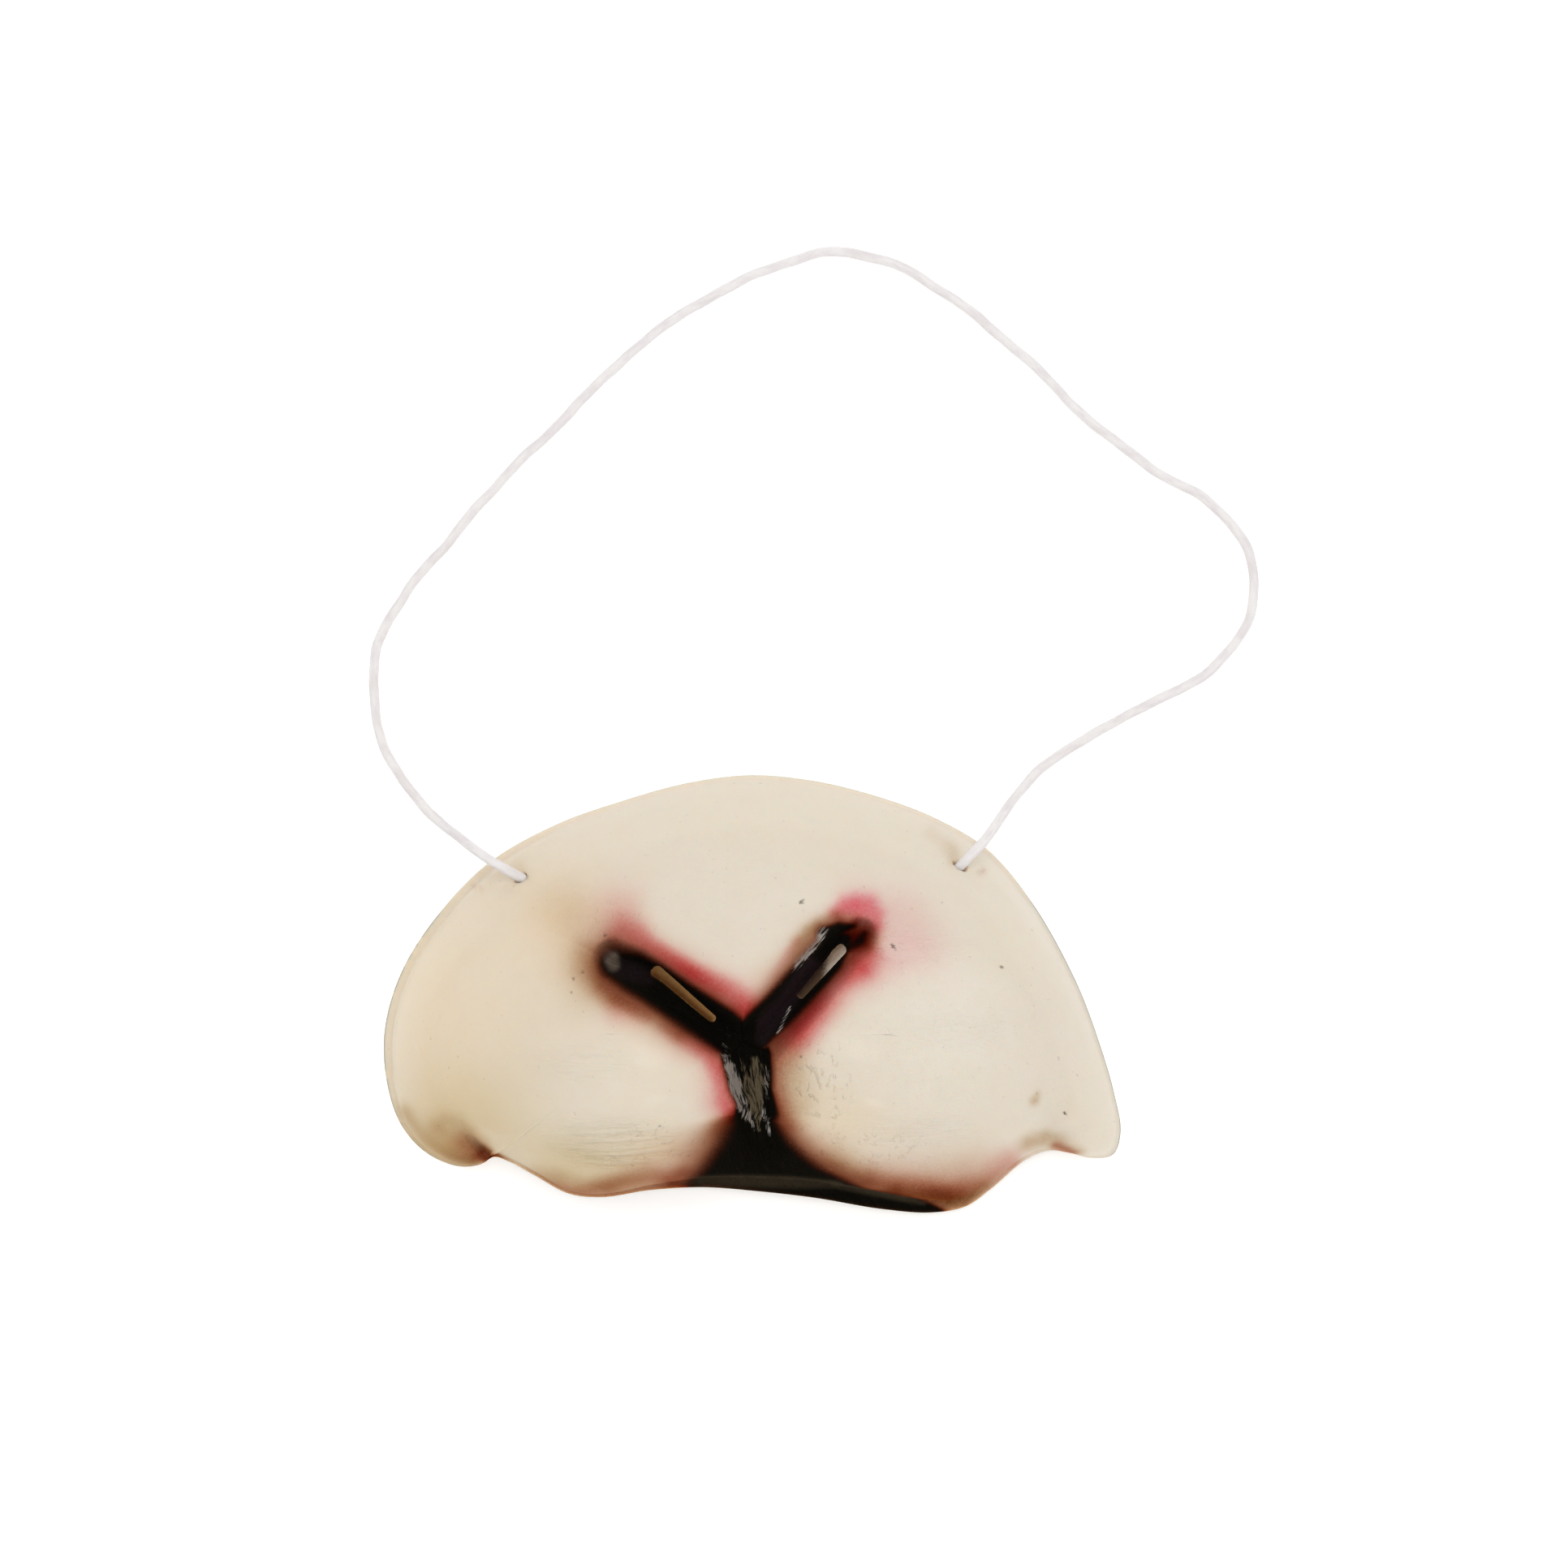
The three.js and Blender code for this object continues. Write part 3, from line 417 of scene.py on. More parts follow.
def catmull(points, samples):
    """Centripetal Catmull-Rom through the points, with `samples` steps in each span."""
    p = np.array(points, float)
    ext = np.vstack([2 * p[0] - p[1], p, 2 * p[-1] - p[-2]])
    out = []
    for i in range(len(p) - 1):
        a, b, c, d = ext[i:i + 4]
        t0, t1 = 0.0, np.linalg.norm(b - a) ** 0.5
        t2 = t1 + np.linalg.norm(c - b) ** 0.5
        t3 = t2 + np.linalg.norm(d - c) ** 0.5
        for k in range(samples):
            t = t1 + (t2 - t1) * k / samples
            a1 = (t1 - t) / (t1 - t0) * a + (t - t0) / (t1 - t0) * b
            a2 = (t2 - t) / (t2 - t1) * b + (t - t1) / (t2 - t1) * c
            a3 = (t3 - t) / (t3 - t2) * c + (t - t2) / (t3 - t2) * d
            b1 = (t2 - t) / (t2 - t0) * a1 + (t - t0) / (t2 - t0) * a2
            b2 = (t3 - t) / (t3 - t1) * a2 + (t - t1) / (t3 - t1) * a3
            out.append((t2 - t) / (t2 - t1) * b1 + (t - t1) / (t2 - t1) * b2)
    out.append(p[-1])
    return np.array(out)


def even(points, step):
    """The same line with points an even distance apart."""
    seg = np.linalg.norm(np.diff(points, axis=0), axis=1)
    key = np.concatenate([[0], np.cumsum(seg)])
    n = max(2, int(round(key[-1] / step)))
    at = np.linspace(0, key[-1], n + 1)
    return np.stack([np.interp(at, key, points[:, i]) for i in range(3)], axis=1), key[-1]


def frames_along(path):
    """Tangents and two cross directions that turn as little as they can along the path."""
    tangent = np.gradient(path, axis=0)
    tangent /= np.linalg.norm(tangent, axis=1)[:, None]
    u = np.cross(tangent[0], [0.3, 0.2, 1.0])
    u /= np.linalg.norm(u)
    us = []
    for k in range(len(path)):
        u = u - tangent[k] * np.dot(u, tangent[k])
        u /= np.linalg.norm(u)
        us.append(u)
    us = np.array(us)
    return tangent, us, np.cross(tangent, us)


def tube(name, path, radius_of, sides, material):
    """A closed tube round the path; radius_of(angle, run) gives its radius in mm."""
    _, us, ws = frames_along(path)
    run = np.concatenate([[0], np.cumsum(np.linalg.norm(np.diff(path, axis=0), axis=1))])
    ang = np.arange(sides) * 2 * math.pi / sides
    r = radius_of(ang[None, :], run[:, None])
    ring = (path[:, None, :] + r[..., None] * (np.cos(ang)[None, :, None] * us[:, None, :]
                                               + np.sin(ang)[None, :, None] * ws[:, None, :]))
    n = len(path)
    verts = np.vstack([ring.reshape(-1, 3), path[:1], path[-1:]])
    i, j = np.meshgrid(np.arange(n - 1), np.arange(sides), indexing="ij")
    k = (j + 1) % sides
    quads = np.stack([i * sides + j, i * sides + k, (i + 1) * sides + k, (i + 1) * sides + j], axis=-1).reshape(-1, 4)
    faces = [tuple(q) for q in quads.tolist()]
    for j in range(sides):
        k = (j + 1) % sides
        faces.append((n * sides, k, j))
        faces.append((n * sides + 1, (n - 1) * sides + j, (n - 1) * sides + k))
    o = new_object(name, mm(verts), faces, materials=[material])
    uv = o.data.attributes.new("run", "FLOAT_VECTOR", "POINT")
    vec = np.zeros((len(verts), 3), np.float32)
    vec[:n * sides, 0] = np.repeat(run, sides)
    vec[:n * sides, 1] = np.tile(np.cos(ang) * 0.75, n)
    vec[:n * sides, 2] = np.tile(np.sin(ang) * 0.75, n)
    vec[-2] = (0, 0, 0)
    vec[-1] = (run[-1], 0, 0)
    uv.data.foreach_set("vector", vec.ravel())
    return o


# ------------------------------------------------------------------ node helpers
class Tree:
    def __init__(self, name):
        self.material = bpy.data.materials.new(name)
        self.material.use_nodes = True
        self.nodes, self.links = self.material.node_tree.nodes, self.material.node_tree.links
        self.nodes.clear()
        self.out = self.nodes.new("ShaderNodeOutputMaterial")
        self.shader = self.nodes.new("ShaderNodeBsdfPrincipled")
        self.links.new(self.shader.outputs[0], self.out.inputs["Surface"])

    def set(self, socket, value):
        if isinstance(value, bpy.types.NodeSocket):
            self.links.new(value, socket)
        elif isinstance(value, (tuple, list)) and len(value) == 3 and socket.type == "RGBA":
            socket.default_value = (*value, 1.0)
        else:
            socket.default_value = value

    def add(self, kind, out=0, ins=(), **props):
        n = self.nodes.new(kind)
        for k, v in props.items():
            setattr(n, k, v)
        for k, v in (ins.items() if isinstance(ins, dict) else enumerate(ins)):
            if v is not None:
                self.set(n.inputs[k], v)
        return n.outputs[out]

    def math(self, op, a, b=None, c=None, clamp=False):
        return self.add("ShaderNodeMath", ins=(a, b, c), operation=op, use_clamp=clamp)

    def mix(self, fac, a, b, blend="MIX"):
        n = self.nodes.new("ShaderNodeMix")
        n.data_type, n.blend_type, n.clamp_factor = "RGBA", blend, True
        self.set(n.inputs["Factor"], fac)
        self.set(n.inputs[6], a)
        self.set(n.inputs[7], b)
        return n.outputs[2]

    def blend(self, fac, a, b):
        n = self.nodes.new("ShaderNodeMix")
        n.data_type, n.clamp_factor = "FLOAT", True
        self.set(n.inputs["Factor"], fac)
        self.set(n.inputs[2], a)
        self.set(n.inputs[3], b)
        return n.outputs[0]

    def attr(self, name, out="Fac"):
        n = self.nodes.new("ShaderNodeAttribute")
        n.attribute_name = name
        return n.outputs[out]

    def mm(self):
        co = self.nodes.new("ShaderNodeTexCoord").outputs["Object"]
        return self.add("ShaderNodeVectorMath", ins={0: co, "Scale": 1000.0}, operation="SCALE")

    def stretch(self, vector, scale, turn=0.0):
        return self.add("ShaderNodeMapping", ins={"Vector": vector, "Scale": scale, "Rotation": (0, 0, turn)})

    def noise(self, vector, scale, detail=2.0, rough=0.5, out="Fac", distortion=0.0):
        return self.add("ShaderNodeTexNoise", out=out, ins={"Vector": vector, "Scale": scale, "Detail": detail,
                                                            "Roughness": rough, "Distortion": distortion})

    def ramp(self, value, lo, hi, to_lo=0.0, to_hi=1.0, smooth=True):
        n = self.nodes.new("ShaderNodeMapRange")
        n.interpolation_type = "SMOOTHSTEP" if smooth else "LINEAR"
        for k, v in (("Value", value), ("From Min", lo), ("From Max", hi), ("To Min", to_lo), ("To Max", to_hi)):
            self.set(n.inputs[k], v)
        return n.outputs[0]

    def bump(self, height, distance, strength=1.0, normal=None):
        n = self.nodes.new("ShaderNodeBump")
        n.inputs["Distance"].default_value = distance
        n.inputs["Strength"].default_value = strength
        self.set(n.inputs["Height"], height)
        if normal is not None:
            self.set(n.inputs["Normal"], normal)
        return n.outputs[0]


def elastic_material():
    m = Tree("elastic_braid")
    run = m.attr("run", "Vector")
    fine = m.noise(run, 9.0, 3.0, 0.6)
    soil = m.noise(m.stretch(run, (0.35, 1, 1)), 1.0, 2.0, 0.5)
    col = m.mix(m.ramp(soil, 0.35, 0.75), (0.72, 0.695, 0.685), (0.64, 0.600, 0.600))
    col = m.mix(m.ramp(fine, 0.42, 0.75, 0.0, 0.30), col, (0.55, 0.52, 0.515))
    m.set(m.shader.inputs["Base Color"], col)
    m.set(m.shader.inputs["Roughness"], m.ramp(fine, 0.2, 0.8, 0.72, 0.92, smooth=False))
    m.shader.inputs["Sheen Weight"].default_value = 0.25
    m.shader.inputs["Sheen Roughness"].default_value = 0.5
    m.set(m.shader.inputs["Normal"], m.bump(fine, 0.00006, 0.6))
    return m.material


elastic = elastic_material()

# ------------------------------------------------------------------ the loop and its knots
def exit_of(string):
    climb, rows = string
    (ax, ay, _), (bx, by, _) = rows[0], rows[1]
    up = math.tan(math.radians(climb)) * math.hypot(bx - ax, by - ay)
    d = np.array([bx - ax, by - ay, up])
    d /= np.linalg.norm(d)
    return np.array([ax, ay, float(raster(HIGH, np.array(ax), np.array(ay)))]), d


left_at, left_dir = exit_of(STRING_LEFT)
right_at, right_dir = exit_of(STRING_RIGHT)


def over_rim(at, direction, rows):
    pts = [at - direction * BEHIND, at, at + direction * 2.0]
    for x, y, lift in rows[1:]:
        pts.append(np.array([x, y, FLOOR_Z + (at[2] - FLOOR_Z) * lift]))
    return pts


route = (over_rim(left_at, left_dir, STRING_LEFT[1]) + [np.array([x, y, FLOOR_Z]) for x, y in LOOP]
         + over_rim(right_at, right_dir, STRING_RIGHT[1])[::-1])
line = catmull(route, 24)
line, cord_length = even(line, 0.27)
# the small unevenness of a soft cord that was wound up in a bag
along = np.arange(len(line)) * 0.27
fade = ease(16, 26, along) * ease(16, 26, along[-1] - along)
_, us, ws = frames_along(line)
sway = 0.10 * np.sin(along * 0.47 + 1.3 * np.sin(along * 0.083)) + 0.03 * np.sin(along * 1.17 + 0.7)
flat_side = np.cross(np.gradient(line, axis=0), [0, 0, 1.0])
flat_side /= np.linalg.norm(flat_side, axis=1)[:, None]
line = line + flat_side * (sway * fade)[:, None]
line[:, 2] = np.maximum(line[:, 2], CORD_D / 2 + 0.02)


def braid(radius):
    def of(angle, run):
        a = np.sin(angle * 4 + run * 4.6)
        b = np.sin(angle * 4 - run * 4.6)
        weave = np.maximum(a, b) - 0.45
        thick = 1 + 0.045 * np.sin(run * 0.43) * np.sin(run * 0.171 + 1.0)
        return radius * thick + 0.040 * weave
    return of


cord = tube("elastic_loop", line, braid(CORD_D / 2 - 0.035), 20, elastic)


def overhand(at, direction, name, turn):
    """A small overhand knot with a cut tail, pulled up against the inside of the wall."""
    w = direction / np.linalg.norm(direction)
    u = np.cross(w, [0.1, 0.2, 1.0])
    u /= np.linalg.norm(u)
    v = np.cross(w, u)
    centre = at - direction * (BEHIND + GAP + KNOT_D / 2 * 0.86)
    t = np.linspace(0, 2 * math.pi, 90)[4:-4] + turn
    r = 0.78
    knot = np.stack([r * (np.sin(t) + 1.28 * np.sin(2 * t)) * 0.72,
                     r * (np.cos(t) - 1.28 * np.cos(2 * t)) * 0.72,
                     -0.62 * np.sin(3 * t)], axis=1)
    lead_in = np.array([[0.0, 0.0, 1.75]])
    tail = np.array([[knot[-1, 0] * 1.25, knot[-1, 1] * 1.25, knot[-1, 2] - 0.7],
                     [knot[-1, 0] * 1.7, knot[-1, 1] * 1.5, knot[-1, 2] - 1.9],
                     [knot[-1, 0] * 1.9, knot[-1, 1] * 1.9, knot[-1, 2] - 3.2]])
    pts = np.vstack([lead_in, lead_in * 0.62 + np.array([[knot[0, 0] * 0.5, knot[0, 1] * 0.5, 0]]), knot[::6], knot[-1:], tail])
    local = catmull(pts, 10)
    path = centre + local[:, :1] * u + local[:, 1:2] * v + local[:, 2:] * w
    path, _ = even(path, 0.2)
    return tube(name, path, braid(0.66), 18, elastic)


knot_left = overhand(left_at, left_dir, "knot_left", 0.4)
knot_right = overhand(right_at, right_dir, "knot_right", 2.1)

for piece, node in ((cord, "elastic_cord"), (knot_left, "cord_knot_left"), (knot_right, "cord_knot_right")):
    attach(piece, "root")
    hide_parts(node)
path_points = [tuple(map(float, p)) for p in mm(line[::4])]
if len(line) % 4 != 1:
    path_points.append(tuple(map(float, mm(line[-1]))))

# ------------------------------------------------------------------ the shell as a fine mesh
RIBS, OUTER, INNER, EDGE = 260, 118, 38, 4


def shell_mesh():
    verts, faces, index = [], [], []
    count = 0

    def add(block):
        nonlocal count
        start = count
        verts.append(np.asarray(block, float).reshape(-1, 3))
        count += len(verts[-1])
        return start

    round_t = np.concatenate([np.arange(RIBS) / RIBS, np.arange(RIBS, 0, -1) / RIBS])
    spine_i = np.rint(round_t * RIBS).astype(int)
    n = len(round_t)
    top, low = np.arange(RIBS), np.arange(RIBS, 2 * RIBS)

    def both(v, fine=False):
        """skin() at the same shares v (n, rings) for every rib, upper and lower."""
        parts = []
        for side, rows in ((1, top), (-1, low)):
            parts.append(skin(side, round_t[rows][:, None], v[rows], EVEN, fine))
        return [np.concatenate([parts[0][k], parts[1][k]], axis=0) for k in range(6)]

    # how far in the inner face of the rim lies, measured square to the outline
    ones = np.ones((n, 1))
    x, y, _, reach, rim, kx = both(ones)
    ox, oy = x[:, 0], y[:, 0]
    tx, ty = np.roll(ox, -1) - np.roll(ox, 1), np.roll(oy, -1) - np.roll(oy, 1)
    tl = np.hypot(tx, ty)
    nx, ny = -ty / tl, tx / tl
    rx, ry = (ox - kx[:, 0]) / reach[:, 0], (oy - SPINE[2]) / reach[:, 0]
    facing = np.maximum(0.62, np.abs(nx * rx + ny * ry))
    share_in = 1 - WALL / facing / reach[:, 0]

    def skinned(rings, shape, flip, mat, share=None, height=None):
        s = np.arange(1, rings + 1) / rings
        v = shape(s)[None, :] * (share[:, None] if share is not None else np.ones((n, 1)))
        x, y, z, _, rim, _ = both(v, fine=not flip)
        if height is not None:
            z = height(x, y, z, rim, rings)
        t = np.arange(RIBS + 1) / RIBS
        sx, sy, sz = skin(1, t, 0.0, EVEN)[:3]
        if height is not None:
            sz = raster(UNDER, sx, sy)
        spine = add(np.stack([sx, sy, sz], axis=-1))
        body = add(np.stack([x, y, z], axis=-1))
        for i in range(n):
            k = (i + 1) % n
            a, b = spine + spine_i[i], spine + spine_i[k]
            p, q = body + i * rings, body + k * rings
            tri = [a, b, q, p] if a != b else [a, q, p]
            faces.append(tri[::-1] if flip else tri)
            index.append(mat)
        i, j = np.meshgrid(np.arange(n), np.arange(rings - 1), indexing="ij")
        k = (i + 1) % n
        quads = np.stack([body + i * rings + j, body + k * rings + j,
                          body + k * rings + j + 1, body + i * rings + j + 1], axis=-1).reshape(-1, 4)
        if flip:
            quads = quads[:, ::-1]
        faces.extend(quads.tolist())
        index.extend([mat] * len(quads))
        return body, np.stack([x, y, z], axis=-1)

    outer_start, outer = skinned(OUTER, lambda s: s + 0.03 * np.sin(2 * math.pi * s) * s, False, 0)

    def inside(x, y, z, rim, rings):
        low_z = rim[..., 2] + 0.02 * (rings - np.arange(1, rings + 1))[None, :]
        out = np.maximum(low_z, raster(UNDER, x, y))
        out[:, -1] = rim[:, -1, 2]
        return out

    inner_start, inner = skinned(INNER, lambda s: s + 0.1 * np.sin(math.pi * s) * s, True, 1, share_in, inside)

    # the cut edge of the rim: flat underneath
    a, b = outer[:, -1], inner[:, -1]
    ring_prev, rows_prev = None, None
    for k in range(1, EDGE):
        f = k / EDGE
        p = a * (1 - f) + b * f
        block = add(p)
        rows = block + np.arange(n)
        prev = outer_start + np.arange(n) * OUTER + OUTER - 1 if k == 1 else rows_prev
        faces.extend(np.stack([prev, np.roll(prev, -1), np.roll(rows, -1), rows], axis=-1).tolist())
        index.extend([1] * n)
        rows_prev = rows
    last = inner_start + np.arange(n) * INNER + INNER - 1
    faces.extend(np.stack([rows_prev, np.roll(rows_prev, -1), np.roll(last, -1), last], axis=-1).tolist())
    index.extend([1] * n)
    return np.vstack(verts), faces, index


verts, faces, index = shell_mesh()


# ------------------------------------------------------------------ latex materials
# Airbrush strokes over the cream, a few of them partly painted shade in folds and dents: name, pigment, rows of x, y,
# radius, optical density.
STROKES = [
    ("wash_right", "pink", [(15, 15.9, 2.37, 0.08), (17.4, 14.5, 3.09, 0.02), (19.7, 11.2, 3.08, 0.05),
        (19.4, 6.6, 3.29, 0.27), (17.9, 3.3, 2.8, 0)]),
    ("wash_cheek_right", "pink", [(21.9, 12.3, 3.2, 0.17), (24.2, 8.3, 3.2, 0.2), (21.7, 5.5, 3.05, 0)]),
    ("hot_pink", "pink", [(12.3, 13.1, 0.83, 0.77), (13.8, 13.9, 1.06, 1.22), (15.4, 14.1, 1.18, 1.34),
        (17, 13.9, 1.3, 1.12), (18.1, 12.7, 1.07, 0.93), (18.3, 11.3, 0.83, 0.75)]),
    ("red_right", "red", [(15.9, 11.9, 0.95, 0.72), (17.6, 10.5, 0.95, 0.4), (18, 9.1, 0.95, 0),
        (17.2, 7.3, 1.29, 0.7), (15.8, 5.5, 1.41, 1.6), (14.1, 4.2, 1.05, 1.19), (11.8, 2.3, 0.82, 0.64),
        (9.5, 0, 0.82, 1.12), (7.1, -2.9, 0.82, 1.2), (4.8, -5.1, 1.05, 0.79), (3.6, -6.9, 0.7, 0.16)]),
    ("wash_low_right", "red", [(16.5, 4.9, 2.34, 0.36), (13.4, 2.6, 1.63, 0.48), (9.9, -0.8, 1.51, 0.98),
        (7, -4.2, 1.51, 1.16), (5, -6.7, 1.51, 0.42)]),
    ("red_left", "red", [(-21.3, 8.3, 0.95, 0), (-20.1, 9.4, 1.18, 0.48), (-18.4, 10.3, 1.54, 0.76),
        (-16.7, 9.6, 1.41, 0.97), (-14.7, 8.3, 1.06, 1.11), (-11.6, 6.5, 0.94, 1.41), (-8.5, 4.6, 0.93, 2.18),
        (-5.7, 3.1, 1.16, 1.55), (-2.9, 1.7, 1.4, 1.23), (-0.8, 0, 1.51, 1.46)]),
    ("red_up_right", "red", [(-0.6, -1.2, 1.3, 0.64), (0.9, 0.2, 1.2, 0), (2.2, 2.3, 1, 0),
        (3.6, 4.6, 0.75, 0.12), (5, 6.6, 0.6, 0.29), (6.7, 9.1, 0.58, 0.27)]),
    ("wash_left", "red", [(-18.9, 12.8, 2.84, 0.3), (-17, 11.2, 2.13, 0.15), (-14, 9.2, 1.53, 0.02),
        (-8.8, 6.3, 1.64, 0.13), (-5.2, 4.5, 1.86, 0.07), (-2, 3.2, 2.33, 0.02), (1.3, 3.2, 1.86, 0.09),
        (2.9, 5.9, 1.4, 0)]),
    ("red_low_left", "red", [(-21.2, 2.3, 0.82, 0.09), (-19.2, 0.5, 0.82, 0), (-16.4, -0.6, 0.81, 0.13),
        (-13.6, -2.2, 0.81, 0), (-10.8, -4, 0.81, 0.23), (-8, -5.6, 0.93, 0.74), (-5.9, -6.8, 1.05, 1.04),
        (-4.7, -8.9, 1.05, 1.31), (-4.1, -11.2, 1.05, 0.92), (-3.4, -13.6, 1.16, 1.08),
        (-2.9, -15.3, 1.05, 1.47)]),
    ("wash_low_left", "red", [(-19.2, -0.8, 1.4, 0.29), (-14.5, -3.1, 1.39, 0.07), (-9.8, -6, 1.51, 0.14),
        (-6.8, -8.1, 1.74, 0.09), (-5.7, -11.2, 1.86, 0.19), (-5, -14, 1.75, 0.35)]),
    ("brown_left", "brown", [(-21.5, 7.9, 0.9, 0), (-22.4, 6.5, 1.2, 0.13), (-22.2, 4.7, 1.2, 0.32),
        (-21.4, 2.7, 1.1, 0.87), (-19.5, 1, 1, 1.12), (-16.9, -0.3, 0.9, 1), (-13.6, -2, 0.9, 0.37),
        (-10.3, -4, 0.9, 0.65)]),
    ("tan_left", "tan", [(-22.7, 9.1, 1.54, 0), (-24, 7, 1.77, 0.44), (-24, 4.8, 1.76, 0.46),
        (-23.1, 2.5, 1.52, 0.23), (-21.1, 0.8, 1.17, 0.21), (-18, -0.6, 0.93, 0)]),
    ("tan_halo_left", "tan", [(-26.9, 12.3, 3.57, 0.16), (-26.5, 5.4, 3.06, 0.12), (-24.9, 0.9, 2.57, 0.1)]),
    ("tan_right", "tan", [(4.3, 3.9, 0.58, 0.08), (5.5, 5.9, 0.7, 0), (6.9, 8.6, 0.82, 0.5),
        (8.5, 10.4, 0.82, 0.7), (10.4, 11.8, 0.71, 0.34), (12.3, 12.7, 0.59, 0.47)]),
    # these two rows are partly paint, partly painted shade on the philtrum's right wall, darker toward the groove
    ("philtrum_right", "redbrown", [(3.2, -6.1, 1, 0.74), (3.5, -8.8, 1.1, 0.8), (3.7, -11.7, 1.1, 0.91),
        (4.1, -14.3, 1.2, 1.12), (5, -17.1, 1.3, 0.88)]),
    ("philtrum_right_wash", "tan", [(5, -6.5, 1.9, 0.67), (5.6, -9.5, 2, 0.52), (5.8, -12.5, 2.1, 0.4),
        (6.4, -15.5, 2.2, 0.38), (8.2, -18.5, 2, 0)]),
    ("triangle_left", "brown", [(-2.9, -16.5, 0.7, 1.55), (-4.3, -17.5, 0.93, 1.07), (-5.8, -19.3, 1.05, 0.33),
        (-7, -21.1, 1.06, 0.06), (-8.2, -23, 1.06, 0.07), (-9.5, -25, 1.2, 0.32), (-11.2, -27.7, 1.4, 0.35)]),
    ("triangle_left_tan", "tan", [(-5.3, -17.2, 1.28, 0.13), (-6.9, -19.2, 1.4, 0), (-8.4, -21.6, 1.53, 0),
        (-9.9, -23.8, 1.54, 0)]),
    ("triangle_right", "brown", [(4.8, -17.3, 0.82, 0.03), (6.7, -19.5, 1.05, 0.12), (8.8, -21.6, 1.06, 0.14),
        (11.4, -23.7, 1.06, 0.59), (14, -25.3, 1.2, 0.79), (17.1, -26.7, 1.2, 1.3), (20.7, -27.8, 1.2, 1.17)]),
    ("triangle_right_tan", "tan", [(7.1, -18.5, 1.5, 0), (9.9, -21, 1.7, 0), (13, -23.3, 1.7, 0.33),
        (16.3, -24.9, 1.5, 0.23)]),
    ("bottom_left", "redbrown", [(-31, -27.4, 0.8, 0), (-26.3, -28.4, 0.84, 0.52), (-22.2, -27.7, 1.08, 0.75),
        (-18.3, -26.5, 1.31, 0.69), (-14.9, -25.7, 1.43, 0.68), (-12.4, -26.2, 1.43, 0.99),
        (-10.4, -25.3, 1.07, 0.67)]),
    ("bottom_left_wash", "tan", [(-33.5, -25.2, 1.3, 0), (-28.3, -26.5, 1.32, 0.6), (-24.6, -27.5, 1.43, 0.51),
        (-21, -27.4, 1.43, 0.88), (-16.1, -25.9, 1.66, 0.45), (-12.5, -24.2, 1.65, 0)]),
    ("bottom_right", "redbrown", [(15.9, -25.2, 0.95, 0), (19.6, -26.2, 1.07, 0.52), (23, -26.7, 1.18, 0.9),
        (26.4, -27.7, 1.31, 1.18), (29.1, -28.3, 1.43, 1.29), (31.8, -27.7, 1.56, 1.06),
        (34.9, -26.9, 1.56, 0.6), (37.5, -26.2, 1.34, 0.53), (39.4, -25.5, 0.98, 0.5)]),
    ("bottom_right_wash", "redbrown", [(18.2, -24.8, 1.65, 0.4), (22.9, -25, 2.12, 0.34),
        (28.9, -25.8, 2.37, 0.45), (34.4, -24.8, 2.39, 0.36), (38.3, -23.9, 1.69, 0.3), (40.8, -22.8, 1.5, 0)]),
    ("bottom_right_tip", "red", [(33.5, -25.6, 1.5, 0), (36.2, -24.9, 1.6, 0.2), (38.3, -23.9, 1.6, 0.34),
        (40.4, -22.9, 1.3, 0.1)]),
    ("bottom_left_lead", "tan", [(-40, -24, 1.1, 0), (-36.5, -25.1, 1.3, 0.14), (-33.4, -26.4, 1.4, 0.28),
        (-30.5, -27.2, 1.3, 0.26), (-27.5, -27.9, 1.2, 0)]),
    ("bottom_right_brown", "tan", [(20, -28.6, 0.9, 0.5), (23.2, -28.9, 1.1, 0.96), (26.8, -29.6, 1.2, 1.39),
        (29.6, -30.2, 1.2, 1.72), (32.4, -29.8, 1.1, 1.34), (34.4, -28.4, 1, 0.63)]),
    ("bottom_right_low", "brown", [(22, -28.2, 1.3, 0.89), (26.4, -28.9, 1.5, 1.21), (29.6, -29.4, 1.6, 1.12),
        (32.6, -29, 1.5, 0.65), (35.6, -27.6, 1.3, 0.51), (38.4, -26, 1.1, 0)]),
    ("bottom_left_edge", "brown", [(-36, -25.6, 0.8, 0), (-33.4, -26.8, 0.9, 0.3), (-30.6, -28, 0.9, 0.65), (-27, -29.4, 1, 1), (-22.6, -30.1, 1.1, 1.16),
        (-18.6, -29.8, 1.2, 1.16), (-15, -29, 1.3, 1.11), (-12.2, -28.6, 1.3, 1.22)]),
    # partly paint, partly painted shade round the fold of the lobe
    ("lobe_ring", "tan", [(-46.5, -19, 1.2, 0.28), (-45.4, -17.9, 1.08, 0.23), (-43.2, -18.1, 1.08, 0.21),
        (-41.6, -19.6, 1.08, 0.14), (-40.6, -21.6, 0.97, 0)]),
    ("lobe_blotch", "redbrown", [(-42.6, -21.9, 1.45, 0.74), (-41.4, -22.7, 1.21, 1.03),
        (-40.6, -23.7, 0.85, 1.91)]),
    # partly paint, partly painted shade, darker toward the lobe's lower edge
    ("lobe_edge", "tan", [(-51.9, -17.5, 1.09, 0.44), (-49.8, -20.4, 1.09, 0.26), (-47.4, -22.6, 1.09, 0.36),
        (-44.5, -24.3, 1.09, 0.82), (-42.1, -24.8, 0.97, 1.28)]),
    # painted shade: dark brown in the crease of the fold between the lobe and the left pad
    ("lobe_fold_shade", "brown", [(-41.3, -20.8, 0.48, 0), (-40.4, -21.9, 0.6, 0.03), (-39.8, -22.9, 0.73, 1.19),
        (-39.3, -23.8, 0.61, 1.35)]),
    # painted shade: dark brown in the notch beside the fold
